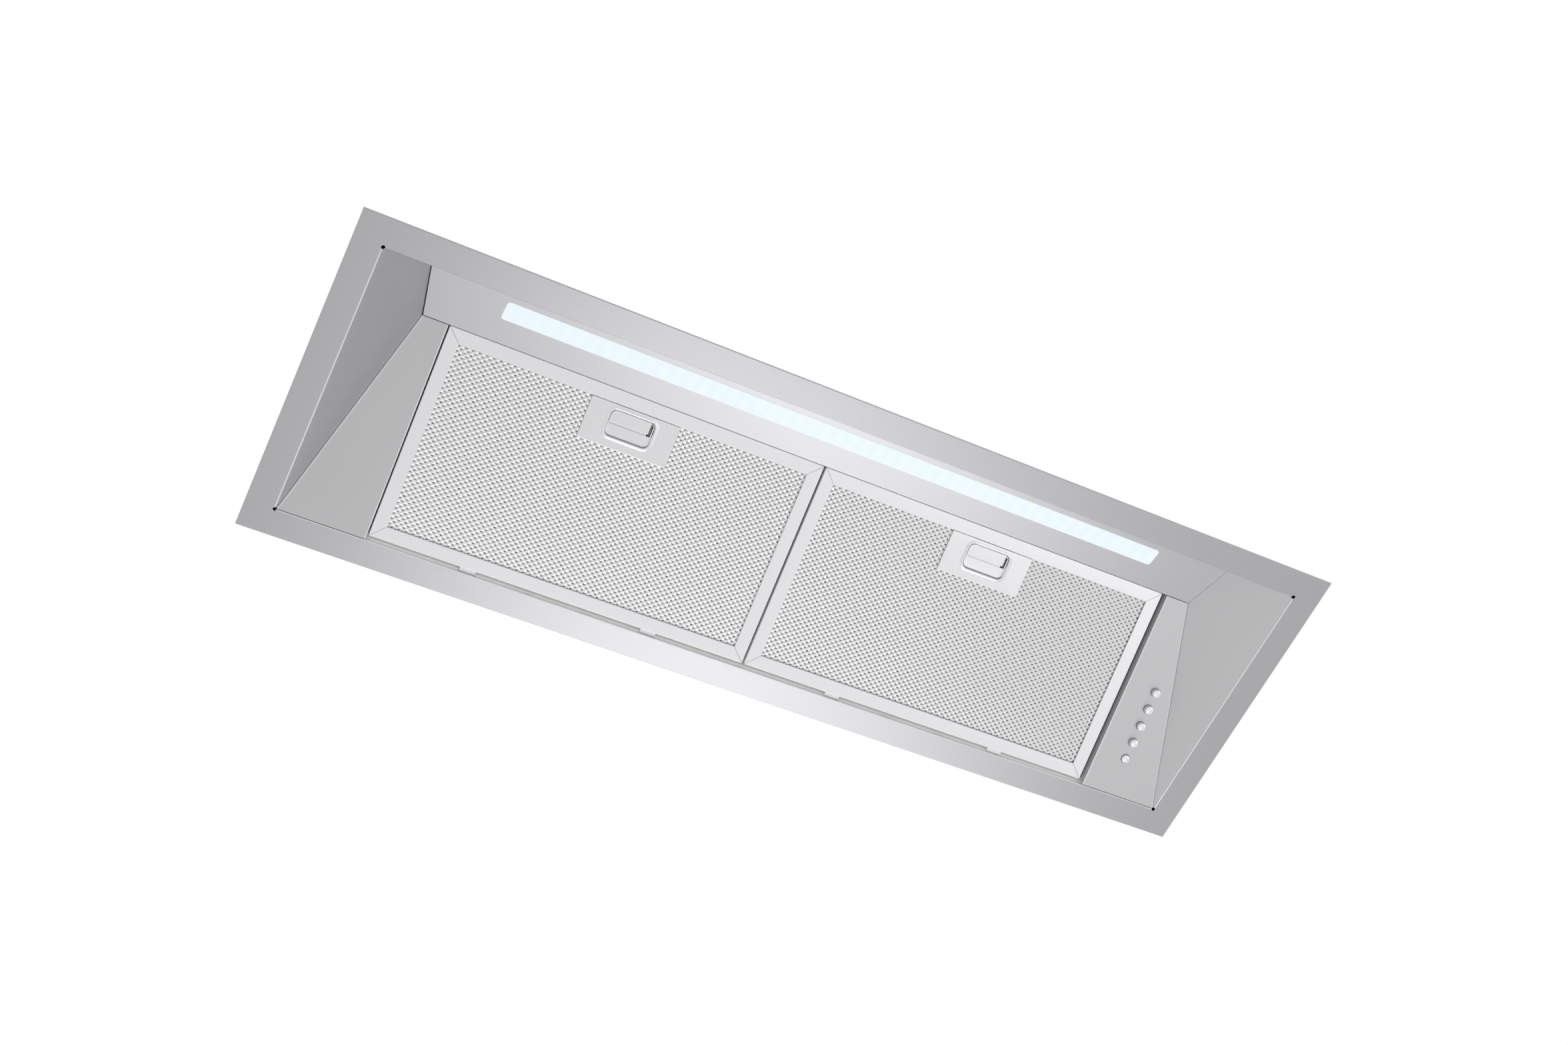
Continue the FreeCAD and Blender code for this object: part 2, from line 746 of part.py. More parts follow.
def make_rear_filter_rail():
    """Slotted angle behind the rear return: the filters' tabs hang in its slots."""
    front = opening_y + canopy_sheet
    half = opening_x - rail_end_gap
    web = box((-half, front, canopy_sheet), (half, front + rail_sheet, rail_height))
    foot = box((-half, front, canopy_sheet), (half, housing_y - housing_sheet, canopy_sheet + rail_sheet))
    rail = fuse([web, foot])
    slots = [(x, tab_width / 2 + rail_slot_clearance) for x in tab_places(-1) + tab_places(1)]
    for side in (-1, 1):
        for offset in (-spare_slot_offset, spare_slot_offset):
            slots.append((latch_x(side) + offset, spare_slot_width / 2))
    low = max(rail_pivot_height - rail_slot_half_height, canopy_sheet + rail_sheet)
    high = rail_pivot_height + rail_slot_half_height
    for x, half_width in slots:
        rail = rail.cut(box((x - half_width, front - past, low),
                            (x + half_width, front + rail_sheet + past, high)))
    return rail


def housing_outline(inset, floor):
    """Section (y, z) of the lower housing, whose front wall leans back above a bend."""
    lean = front_set_back / (deck_height - front_bend_height)
    shift = inset * math.hypot(1, lean)
    top = deck_height - inset
    bend = front_bend_height + (inset - shift) / lean
    deck_front = -housing_front + (top - front_bend_height) * lean + shift
    rear = housing_y - inset
    return [(-housing_front + inset, floor), (-housing_front + inset, bend), (deck_front, top),
            (rear, top), (rear, floor)]


def housing_block(low_x, high_x, inset, floor):
    """The lower housing's section as a solid between two places along the flange."""
    outline = [(low_x, y, z) for y, z in housing_outline(inset, floor)]
    return prism(outline, (high_x - low_x, 0, 0))


def make_housing_wrap():
    """Leaning front wall, deck and rear wall folded from one sheet, with a foot along the front."""
    skin = housing_sheet
    x = housing_x - skin
    outside = housing_block(-x, x, 0, canopy_sheet)
    wrap = outside.cut(housing_block(-far, far, skin, 0))
    foot = box((-x, -housing_front - front_foot, canopy_sheet),
               (x, -housing_front + skin, canopy_sheet + skin))
    wrap = fuse([wrap, foot])
    hole_x = case_width / 2 - case_sheet
    wrap = wrap.cut(box((-hole_x, case_front + case_sheet, deck_height - skin - past),
                        (hole_x, case_rear - case_sheet, far)))
    wrap = wrap.cut(screw_holes("ends")).cut(screw_holes("case"))
    port = rod((lead_port_x(), 0, deck_height + past), (0, 0, -1), lead_port_radius, skin + 2 * past)
    return wrap.cut(port)


def lead_port_x():
    """Place of the hole through which the leads enter the control box."""
    return control_box_start + control_box_length - 3 * lead_port_radius


def make_end_plate(side):
    """Flat end of the lower housing, with a lip under the deck and two fixing holes."""
    skin = housing_sheet
    inner = housing_x - skin
    xs = sorted((side * inner, side * housing_x))
    plate = housing_block(xs[0], xs[1], 0, canopy_sheet)
    lip_xs = sorted((side * housing_x, side * (inner - end_lip)))
    lip_front = housing_outline(skin, canopy_sheet)[2][0] + end_lip_gap
    lip = box((lip_xs[0], lip_front, deck_height - 2 * skin),
              (lip_xs[1], housing_y - skin - end_lip_gap, deck_height - skin))
    plate = fuse([plate, lip])
    for y in (-end_hole_spacing / 2, end_hole_spacing / 2):
        start = (side * (inner - past), y, end_hole_height)
        plate = plate.cut(rod(start, (side, 0, 0), end_hole_radius, skin + 2 * past))
    return plate.cut(screw_holes("ends")).cut(screw_holes("clips"))


def make_spring_clips():
    """Leaf springs on the end plates: a flat foot, a bulge and a free end that bears on the cut-out."""
    foot_top = deck_height - clip_foot_below_deck
    foot_low = foot_top - clip_foot_height
    tip = clip_tip_height
    middle = (foot_low + tip) / 2
    clips = []
    for side in (-1, 1):
        for y in (-clip_spacing / 2, clip_spacing / 2):
            profile = [(0, foot_top), (0, foot_low), (clip_bulge, middle), (clip_tip_out, tip),
                       (clip_tip_out + clip_sheet, tip), (clip_bulge + clip_sheet, middle),
                       (clip_sheet, foot_low), (clip_sheet, foot_top)]
            outline = [(side * (housing_x + out), y - clip_width / 2, z) for out, z in profile]
            clips.append(prism(outline, (0, clip_width, 0)).cut(screw_holes("clips")))
    return Part.Compound(clips)


def make_blower_case():
    """Four walls over the fan, with feet on the deck and a hole for the motor's lead."""
    low_x = case_width / 2
    skin = case_sheet
    walls = box((-low_x, case_front, deck_height), (low_x, case_rear, case_top))
    inner = box((-low_x + skin, case_front + skin, 0), (low_x - skin, case_rear - skin, far))
    foot = box((-low_x - case_foot, case_front - case_foot, deck_height),
               (low_x + case_foot, case_rear + case_foot, deck_height + skin))
    case = fuse([walls, foot]).cut(inner)
    lead_hole = rod((low_x + past, 0, motor_lead_height()), (-1, 0, 0),
                    motor_lead_radius + case_lead_clearance, skin + 2 * past)
    return case.cut(lead_hole).cut(screw_holes("case"))


def motor_lead_height():
    """Height at which the motor's lead crosses from the case to the control box."""
    return deck_height + control_box_height / 2


def make_blower_cover():
    """Lid of the blower case, with turned-down lips and the outlet hole."""
    low_x = case_width / 2 + case_sheet
    top = case_top + case_sheet
    cover = box((-low_x, case_front - case_sheet, case_top - cover_lip), (low_x, case_rear + case_sheet, top))
    cover = cover.cut(box((-low_x + case_sheet, case_front, 0), (low_x - case_sheet, case_rear, case_top)))
    outlet = rod((0, outlet_y, case_top - past), (0, 0, 1), duct_radius - collar_wall, case_sheet + 2 * past)
    return cover.cut(outlet).cut(screw_holes("collar"))


def scroll_profile(inset):
    """Outline of the volute in the YZ plane: a spiral that opens into a straight neck."""
    neck_front = scroll_centre_y - scroll_start_radius * math.cos(math.radians(scroll_tongue_angle)) + inset
    start_radius = scroll_start_radius - inset
    start_angle = math.degrees(math.acos((scroll_centre_y - neck_front) / start_radius))
    points = []
    for step in range(scroll_spiral_spans + 1):
        share = step / scroll_spiral_spans
        angle = math.radians(start_angle + (-180 - start_angle) * share)
        radius = start_radius + (scroll_end_radius - scroll_start_radius) * share
        points.append(Vector(0, scroll_centre_y - radius * math.cos(angle),
                             scroll_centre_height + radius * math.sin(angle)))
    spiral = Part.BSplineCurve()
    spiral.interpolate(points)
    neck_rear = points[-1].y
    corners = [points[-1], Vector(0, neck_rear, case_top), Vector(0, neck_front, case_top), points[0]]
    edges = [spiral.toShape()]
    edges += [Part.makeLine(a, b) for a, b in zip(corners, corners[1:])]
    return Part.Face(Part.Wire(edges))


def make_scroll():
    """Two moulded halves of the volute with a round inlet in each side and a rim under the cover."""
    width = 2 * scroll_half_width
    outside = scroll_profile(0).extrude(Vector(width, 0, 0))
    outside.translate(Vector(-scroll_half_width, 0, 0))
    rim = box((-scroll_half_width - scroll_rim, outlet_y - duct_radius, case_top - scroll_wall),
              (scroll_half_width + scroll_rim, outlet_y + duct_radius, case_top))
    inside = scroll_profile(scroll_wall).extrude(Vector(width - 2 * scroll_wall, 0, 0))
    inside.translate(Vector(-scroll_half_width + scroll_wall, 0, 0))
    scroll = fuse([outside, rim]).cut(inside)
    inlet_start = (-scroll_half_width - past, scroll_centre_y, scroll_centre_height)
    scroll = scroll.cut(rod(inlet_start, (1, 0, 0), inlet_radius, width + 2 * past))
    left = scroll.common(box((-far, -far, -far), (0, far, far)))
    right = scroll.common(box((0, -far, -far), (far, far, far)))
    return {"scroll_left_half": left, "scroll_right_half": right}


def make_impeller():
    """Double-inlet wheel: leaning blades between two rings, with a centre disc and a hub."""
    centre = Vector(0, scroll_centre_y, scroll_centre_height)
    half = impeller_half_width
    inner = impeller_radius - blade_depth
    pieces = [tube((-half, 0, 0), (1, 0, 0), impeller_radius, inner, impeller_ring),
              tube((half - impeller_ring, 0, 0), (1, 0, 0), impeller_radius, inner, impeller_ring),
              rod((-impeller_disc / 2, 0, 0), (1, 0, 0), impeller_radius, impeller_disc),
              rod((hub_start, 0, 0), (1, 0, 0), hub_radius, hub_end - hub_start)]
    for number in range(blade_count):
        blade = box((-half, -blade_depth / 2, -blade_thickness / 2),
                    (half, blade_depth / 2, blade_thickness / 2))
        blade.rotate(Vector(0, 0, 0), Vector(1, 0, 0), blade_lean)
        blade.translate(Vector(0, impeller_radius - blade_depth / 2 - blade_rim_inset, 0))
        blade.rotate(Vector(0, 0, 0), Vector(1, 0, 0), 360 / blade_count * number)
        pieces.append(blade)
    wheel = fuse(pieces).cut(rod((-far, 0, 0), (1, 0, 0), shaft_radius, 2 * far))
    wheel.translate(centre)
    return wheel


def make_motor():
    """Motor in the left inlet, its three-arm bracket, rubber bushes and shaft."""
    y = scroll_centre_y
    z = scroll_centre_height
    case = rod((motor_start, y, z), (1, 0, 0), motor_radius, motor_end - motor_start)
    edges = [edge for edge in case.Edges if edge.Length > motor_radius * 5]
    case = case.makeFillet(motor_edge_round, edges)
    case = case.cut(rod((motor_bore_bottom, y, z), (1, 0, 0), shaft_radius + running_clearance, far))
    shaft = rod((shaft_start, y, z), (1, 0, 0), shaft_radius, hub_end - shaft_start)
    pieces = [rod((motor_start - bracket_sheet, 0, 0), (1, 0, 0), bracket_disc_radius, bracket_sheet)]
    bushes = []
    for number in range(bush_count):
        arm = box((motor_start - bracket_sheet, -bracket_arm_width / 2, 0),
                  (motor_start, bracket_arm_width / 2, bush_circle_radius))
        pad = rod((motor_start - bracket_sheet, 0, bush_circle_radius), (1, 0, 0), bracket_arm_width / 2,
                  bracket_sheet)
        bush = rod((motor_start, 0, bush_circle_radius), (1, 0, 0), bush_radius,
                   -scroll_half_width - motor_start)
        for piece in (arm, pad, bush):
            piece.rotate(Vector(0, 0, 0), Vector(1, 0, 0), 360 / bush_count * number + bush_first_angle)
        pieces += [arm, pad]
        bushes.append(bush)
    bracket = fuse(pieces)
    bushes = Part.Compound(bushes)
    for piece in (bracket, bushes):
        piece.translate(Vector(0, y, z))
    return {"motor_case": case, "motor_shaft": shaft, "motor_bracket": bracket, "motor_bushes": bushes}


def collar_base_level():
    """Top of the blower cover, where the collar stands."""
    return case_top + case_sheet


def make_outlet_collar():
    """Round spigot on a square base, with a lead-in, a ledge for the flaps and holes for their pin."""
    base = collar_base_level()
    half = collar_base / 2
    inner = duct_radius - collar_wall
    plate = rounded_box((-half, -half, base), (half, half, base + collar_base_thickness), collar_base_corner)
    straight = collar_height - collar_lead_in
    spigot = rod((0, 0, base), (0, 0, 1), duct_radius, straight)
    lead_in = Part.makeCone(duct_radius, duct_radius - collar_lead_in, collar_lead_in,
                            Vector(0, 0, base + straight))
    collar = fuse([plate, spigot, lead_in]).cut(rod((0, 0, base - past), (0, 0, 1), inner, far))
    ledge = tube((0, 0, base), (0, 0, 1), inner + collar_wall / 2, inner - ledge_width, ledge_thickness)
    pin_hole = rod((-duct_radius - past, 0, damper_pin_level()), (1, 0, 0), damper_pin_radius, far)
    collar = fuse([collar, ledge]).cut(pin_hole)
    collar.translate(Vector(0, outlet_y, 0))
    return collar.cut(screw_holes("collar"))


def damper_pin_level():
    """Height of the pin that both damper flaps turn on."""
    return collar_base_level() + damper_pin_above_base


def knuckle_starts(side):
    """Where the two knuckles of one flap start along the pin; the other flap has theirs beside them."""
    pair = knuckle_length + knuckle_gap
    if side < 0:
        return (-knuckle_middle - knuckle_length - pair, knuckle_middle)
    return (-knuckle_middle - knuckle_length, knuckle_middle + pair)


def make_damper_flap(side):
    """Half-round flap hung on the pin by two knuckles; the flaps' knuckles take turns along the pin."""
    low = collar_base_level() + ledge_thickness + flap_stop_gap
    pin = damper_pin_level()
    reach = knuckle_radius + knuckle_clearance
    plate = rod((0, 0, low), (0, 0, 1), flap_radius, flap_thickness)
    keep = sorted((side * reach, side * far))
    plate = plate.common(box((-far, keep[0], 0), (far, keep[1], far)))
    ys = sorted((0, side * (reach + knuckle_radius)))
    pieces = [plate]
    for start in knuckle_starts(side):
        pieces.append(box((start, ys[0], low), (start + knuckle_length, ys[1], low + flap_thickness)))
        pieces.append(rod((start, 0, pin), (1, 0, 0), knuckle_radius, knuckle_length))
    flap = fuse(pieces)
    flap = flap.cut(rod((-far, 0, pin), (1, 0, 0), damper_pin_radius + running_clearance, 2 * far))
    flap.translate(Vector(0, outlet_y, 0))
    return flap


def make_control_box():
    """Moulded box on the deck, its lid and what it holds."""
    wall = control_box_wall
    low = (control_box_start, -control_box_width / 2, deck_height)
    high = (control_box_start + control_box_length, control_box_width / 2, deck_height + control_box_height)
    body = rounded_box(low, high, control_box_corner)
    body = body.cut(box((low[0] + wall, low[1] + wall, low[2] + wall), (high[0] - wall, high[1] - wall, far)))
    level = motor_lead_height()
    through = wall + 2 * past
    port = rod((lead_port_x(), 0, low[2] - past), (0, 0, 1), lead_port_radius, through)
    lead_hole = rod((low[0] - past, 0, level), (1, 0, 0), motor_lead_radius + lead_hole_clearance, through)
    gland_hole = rod((high[0] + past, 0, level), (-1, 0, 0), gland_radius, through)
    body = body.cut(port).cut(lead_hole).cut(gland_hole)
    bosses = []
    for seat, direction in screw_groups()["lid"]:
        foot = (seat[0], seat[1], low[2] + wall / 2)
        bosses.append(rod(foot, (0, 0, 1), lid_boss_radius, high[2] - foot[2]))
    body = fuse([body] + bosses).cut(screw_holes("lid"))
    lid = rounded_box((low[0] - lid_overhang, low[1] - lid_overhang, high[2]),
                      (high[0] + lid_overhang, high[1] + lid_overhang, high[2] + lid_thickness),
                      control_box_corner)
    lid = lid.cut(screw_holes("lid"))
    floor = low[2] + wall
    rear_wall = high[1] - wall
    capacitor = rod((low[0] + capacitor_inset, rear_wall - capacitor_radius, floor + capacitor_radius),
                    (1, 0, 0), capacitor_radius, capacitor_length)
    driver_low = (low[0] + driver_inset, low[1] + wall, floor)
    driver_high = [start + size for start, size in zip(driver_low, driver_size)]
    driver = rounded_box(driver_low, driver_high, driver_corner)
    block_end = high[0] - terminal_inset
    block = box((block_end - terminal_size[0], rear_wall - terminal_size[1], floor),
                (block_end, rear_wall, floor + terminal_size[2]))
    return {"control_box": body, "control_box_lid": lid, "run_capacitor": capacitor,
            "led_driver": driver, "terminal_block": block}


def make_cable_gland():
    """Threaded gland in the box's end wall, through which a mains cable would enter."""
    start = control_box_start + control_box_length
    level = motor_lead_height()
    body = rod((start - gland_inside, 0, level), (1, 0, 0), gland_radius, gland_length)
    flange = rod((start, 0, level), (1, 0, 0), gland_flange_radius, gland_flange_thickness)
    hole = rod((start - gland_inside - past, 0, level), (1, 0, 0), gland_hole_radius, gland_length + 2 * past)
    return fuse([body, flange]).cut(hole)


def make_leads():
    """Switch, lamp and motor leads between their housings."""
    port_x = lead_port_x()
    in_box = deck_height + 8
    switch_back = slope_frame.multVec(Vector(button_x, -button_places[2] - button_pitch / 2,
                                             switch_block_start + switch_block_height))
    switch_up = slope_frame.Rotation.multVec(Vector(0, 0, 24))
    switch = [switch_back, switch_back + switch_up, (button_x - 20, 44, 86), (port_x + 38, 22, 93),
              (port_x + 14, 8, 100), (port_x + 4, 2, in_box)]
    lamp_x = opening_x - led_window_end_margin - 30
    lamp_y = -led_window_from_crease - led_window_width / 2
    lamp_back = panel_frame.multVec(Vector(lamp_x, lamp_y, panel_sheet + led_channel_height))
    lamp_up = panel_frame.Rotation.multVec(Vector(0, 0, 24))
    led = [lamp_back, lamp_back + lamp_up, (lamp_x + 2, -78, 98), (port_x, -42, 97),
           (port_x - 1, -12, 103), (port_x - 3, -4, in_box)]
    start_x = motor_start - bracket_sheet
    start_y = scroll_centre_y
    level = motor_lead_height()
    front_y = case_front + case_sheet + 18
    motor = [(start_x, start_y, 176), (start_x - 33, start_y, 176), (start_x - 42, start_y - 32, 194),
             (start_x - 6, front_y, 222), (30, front_y, 226), (scroll_half_width + 34, front_y + 3, 206),
             (scroll_half_width + 60, front_y + 20, 160), (case_width / 2 - 14, 0, level),
             (control_box_start + control_box_wall + 6, 0, level)]
    return {"switch_cable": lead(switch, lead_radius), "led_cable": lead(led, lead_radius),
            "motor_cable": lead(motor, motor_lead_radius)}


def screw_groups():
    """Sheet-metal screws by what they hold, each with its seat and the direction of its shank."""
    down = (0, 0, -1)
    groups = {"ends": [], "clips": [], "case": [], "collar": [], "lid": []}
    for side in (-1, 1):
        lip_x = side * (housing_x - housing_sheet - end_lip / 2)
        for y in (-end_screw_spacing, 0, end_screw_spacing):
            groups["ends"].append(((lip_x, y, deck_height), down))
        for y in (-clip_spacing / 2, clip_spacing / 2):
            seat = (side * (housing_x + clip_sheet), y, deck_height - clip_screw_below_deck)
            groups["clips"].append((seat, (-side, 0, 0)))
        foot_x = side * (case_width + case_foot) / 2
        case_middle = (case_front + case_rear) / 2
        for y in (case_middle - case_screw_spacing / 2, case_middle + case_screw_spacing / 2):
            groups["case"].append(((foot_x, y, deck_height + case_sheet), down))
        for y in (outlet_y - collar_screw_offset, outlet_y + collar_screw_offset):
            seat = (side * collar_screw_offset, y, collar_base_level() + collar_base_thickness)
            groups["collar"].append((seat, down))
    lid_y = -control_box_width / 2 + lid_screw_inset
    lid_top = deck_height + control_box_height + lid_thickness
    for x in (control_box_start + lid_screw_inset, control_box_start + control_box_length - lid_screw_inset):
        groups["lid"].append(((x, lid_y, lid_top), down))
    return groups


def screw_holes(group):
    """Holes for one group of screws, through all that their shanks cross."""
    holes = []
    for seat, direction in screw_groups()[group]:
        start = Vector(*seat) - Vector(*direction) * past
        holes.append(rod(start, direction, screw_hole_radius, screw_shank_length + 2 * past))
    return Part.Compound(holes)


def make_sheet_metal_screws():
    """Pan-head screws."""
    screws = []
    for seat, direction in sum(screw_groups().values(), []):
        outward = Vector(*direction) * -1
        head = rod(seat, outward, screw_head_radius, screw_head_height)
        top = Vector(*seat) + outward * screw_head_height
        rim = [edge for edge in head.Edges if (edge.CenterOfMass - top).Length < screw_hole_radius]
        head = head.makeFillet(screw_head_round, rim)
        screws.append(fuse([head, rod(seat, direction, screw_shank_radius, screw_shank_length)]))
    return Part.Compound(screws)


parts = {
    "canopy_frame": make_canopy_frame(),
    "light_panel": make_light_panel(),
    "left_wing_panel": placed(make_wing(-1), slope_frame),
    "right_control_panel": placed(make_right_control_panel(), slope_frame),
    "rear_filter_rail": make_rear_filter_rail(),
    "housing_wrap": make_housing_wrap(),
    "left_end_plate": make_end_plate(-1),
    "right_end_plate": make_end_plate(1),
    "spring_clips": make_spring_clips(),
    "blower_case": make_blower_case(),
    "blower_cover": make_blower_cover(),
    "impeller": make_impeller(),
    "outlet_collar": make_outlet_collar(),
    "damper_flap_front": make_damper_flap(-1),
    "damper_flap_rear": make_damper_flap(1),
    "damper_pin": rod((-duct_radius, outlet_y, damper_pin_level()), (1, 0, 0), damper_pin_radius,
                      2 * duct_radius),
    "cable_gland": make_cable_gland(),
    "sheet_metal_screws": make_sheet_metal_screws()}
button_names = ["button_light", "button_off", "button_speed_1", "button_speed_2", "button_speed_3"]
for button_name, button_place in zip(button_names, button_places):
    parts[button_name] = make_button(button_place, button_travel if button_name == "button_light" else 0)
parts.update(make_lamp())
parts.update(make_switch())
parts.update(make_filter("left", -1))
parts.update(make_filter("right", 1))
parts.update(make_scroll())
parts.update(make_motor())
parts.update(make_control_box())
parts.update(make_leads())

for part_name, shape in parts.items():
    print("%-24s %2d solids, valid %s, %.0f mm3" % (
        part_name, len(shape.Solids), shape.isValid(), shape.Volume))
    shape.exportStep("parts/" + part_name + ".step")
pivot = (opening_y + canopy_sheet + rail_sheet / 2, rail_pivot_height)
print("filter pivot y %.3f z %.3f" % pivot)
print("slope rise %.4f deg, panel rise %.4f deg" % (math.degrees(slope_rise), math.degrees(panel_rise)))
print("damper pin z %.3f, nodes %d" % (damper_pin_level(), len(parts)))
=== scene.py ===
"""A canopy insert for a range hood, seen from below: steel recess, lamp, mesh filters, buttons and blower."""
import math
import bmesh
import bpy
from mathutils import Matrix, Vector


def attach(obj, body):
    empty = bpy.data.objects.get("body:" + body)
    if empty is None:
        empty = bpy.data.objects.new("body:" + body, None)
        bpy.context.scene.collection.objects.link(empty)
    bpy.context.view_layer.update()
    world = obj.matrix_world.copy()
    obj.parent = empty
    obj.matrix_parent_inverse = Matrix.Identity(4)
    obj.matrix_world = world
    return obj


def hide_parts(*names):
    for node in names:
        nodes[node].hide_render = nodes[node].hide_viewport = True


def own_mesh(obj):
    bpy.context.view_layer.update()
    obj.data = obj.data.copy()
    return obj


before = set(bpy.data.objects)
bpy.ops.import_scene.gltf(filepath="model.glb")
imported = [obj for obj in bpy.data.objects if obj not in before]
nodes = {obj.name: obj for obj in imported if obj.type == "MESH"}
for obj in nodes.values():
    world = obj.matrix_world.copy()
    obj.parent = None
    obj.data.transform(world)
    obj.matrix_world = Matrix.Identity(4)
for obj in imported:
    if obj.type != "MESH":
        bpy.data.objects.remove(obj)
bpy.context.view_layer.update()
mm = 0.001

# ------------------------------
# Studio. The hood hangs over a pale floor in soft daylight, and the camera looks up at it from the cook's
# left. One soft box below the rear lays a sheen on the flange, and a broad one in front lights the filters.
camera_place = Vector((-0.5803, -0.7740, -1.6030))
camera_right = Vector((0.89673, -0.42964, -0.10620))
camera_up = Vector((-0.32838, -0.80680, 0.49116))
camera_back = Vector((-0.29671, -0.40557, -0.86457))
lens_data = bpy.data.cameras.new("camera")
lens_data.lens = 50.36
lens_data.sensor_width = 36.0
lens_data.clip_start = 0.01
camera = bpy.data.objects.new("camera", lens_data)
bpy.context.scene.collection.objects.link(camera)
turn = Matrix((camera_right, camera_up, camera_back)).transposed()
camera.matrix_world = Matrix.Translation(camera_place) @ turn.to_4x4()
bpy.context.scene.camera = camera
bpy.context.scene.view_settings.view_transform = "Standard"


def add_node(tree, kind, inputs=None, **settings):
    """A node with its settings made, and its inputs given as values or as sockets to link."""
    node = tree.nodes.new(kind)
    for name, value in settings.items():
        setattr(node, name, value)
    for name, value in (inputs or {}).items():
        if isinstance(value, bpy.types.NodeSocket):
            tree.links.new(value, node.inputs[name])
        else:
            node.inputs[name].default_value = value
    return node


def add_math(tree, operation, first, second=0.0):
    """One sum of two sockets or numbers."""
    return add_node(tree, "ShaderNodeMath", {0: first, 1: second}, operation=operation).outputs[0]


def any_ray(tree, *rays):
    """1 for the named kinds of ray and 0 for the others."""
    path = tree.nodes.new("ShaderNodeLightPath").outputs
    total = path[rays[0]]
    for ray in rays[1:]:
        total = add_math(tree, "MAXIMUM", total, path[ray])
    return total


daylight = bpy.data.worlds.new("daylight")
bpy.context.scene.world = daylight
daylight.use_nodes = True
sky_tree = daylight.node_tree
sky = sky_tree.nodes["Background"]
sky.inputs["Color"].default_value = (1, 1, 1, 1)
level = add_node(sky_tree, "ShaderNodeMapRange", {
    "Value": any_ray(sky_tree, "Is Camera Ray", "Is Glossy Ray", "Is Transmission Ray"),
    "To Min": 0.72, "To Max": 1.0})
sky_tree.links.new(level.outputs["Result"], sky.inputs["Strength"])

floor_level = -2.3
floor_reach = 14.0
floor_mesh = bpy.data.meshes.new("floor")
floor_mesh.from_pydata([(x * floor_reach, y * floor_reach, floor_level)
                        for x, y in ((-1, -1), (1, -1), (1, 1), (-1, 1))], [], [(0, 1, 2, 3)])
floor = bpy.data.objects.new("floor", floor_mesh)
bpy.context.scene.collection.objects.link(floor)
floor_paint = bpy.data.materials.new("pale_floor")
floor_paint.use_nodes = True
floor_tree = floor_paint.node_tree
floor_shader = floor_tree.nodes["Principled BSDF"]
floor_shader.inputs["Base Color"].default_value = (0.86, 0.86, 0.87, 1)
floor_shader.inputs["Roughness"].default_value = 0.9
floor_seen = add_node(floor_tree, "ShaderNodeMixShader", {
    "Fac": any_ray(floor_tree, "Is Glossy Ray", "Is Transmission Ray"), 1: floor_shader.outputs[0],
    2: floor_tree.nodes.new("ShaderNodeEmission").outputs[0]})
floor_tree.links.new(floor_seen.outputs[0], floor_tree.nodes["Material Output"].inputs["Surface"])
floor_mesh.materials.append(floor_paint)


def soft_box(name, place, width, height, brightness):
    """A square lamp that faces the hood; brightness is what its surface shows, where paper shows 1."""
    lamp = bpy.data.lights.new(name, "AREA")
    lamp.shape = "RECTANGLE"
    lamp.size = width
    lamp.size_y = height
    lamp.energy = brightness * math.pi * width * height
    box = bpy.data.objects.new(name, lamp)
    bpy.context.scene.collection.objects.link(box)
    box.location = place
    box.rotation_euler = (-Vector(place)).to_track_quat("-Z", "Z").to_euler()
    box.visible_camera = False


soft_box("rear_box", (0.585, 1.2, -1.86), 0.8, 1.2, 3.0)
soft_box("front_box", (1.26, -0.80, -1.75), 1.2, 1.2, 0.5)

# ------------------------------
# Canopy frame: flange, end walls and returns folded from one sheet of brushed stainless steel, and the flange's
# outer edge is hemmed. The folds at the two ends carry a painted highlight, the end walls a lighter painted copy of
# the steel, and the rear return a pale painted-light finish.


def plain_mesh(piece):
    """Turns a piece's modifiers into its mesh."""
    bpy.context.view_layer.update()
    seen = piece.evaluated_get(bpy.context.evaluated_depsgraph_get())
    mesh = bpy.data.meshes.new_from_object(seen)
    mesh.name = piece.name
    piece.modifiers.clear()
    piece.data = mesh
    return piece


def new_piece(name, bm=None, *finishes):
    """An object at the origin, with its place in its mesh, which comes from bm and frees it."""
    piece = bpy.data.objects.new(name, bpy.data.meshes.new(name))
    bpy.context.scene.collection.objects.link(piece)
    if bm is not None:
        bm.to_mesh(piece.data)
        bm.free()
    for finish in finishes:
        piece.data.materials.append(finish)
    return piece


def joined_copy(node):
    """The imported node's triangles joined into flat faces, as a mesh to work on."""
    bm = bmesh.new()
    bm.from_mesh(nodes[node].data)
    bmesh.ops.remove_doubles(bm, verts=bm.verts, dist=2e-6)
    bmesh.ops.dissolve_limit(bm, angle_limit=math.radians(0.6), verts=bm.verts, edges=bm.edges)
    return bm


def room_beside(edge):
    """The shortest edge that runs away from this one on its two faces."""
    room = 1.0
    along = (edge.verts[1].co - edge.verts[0].co).normalized()
    for loop in edge.link_loops:
        for beside in (loop.link_loop_prev.edge, loop.link_loop_next.edge):
            away = beside.verts[1].co - beside.verts[0].co
            if away.length > 0 and abs(away.normalized().dot(along)) < 0.8:
                room = min(room, away.length)
    return room


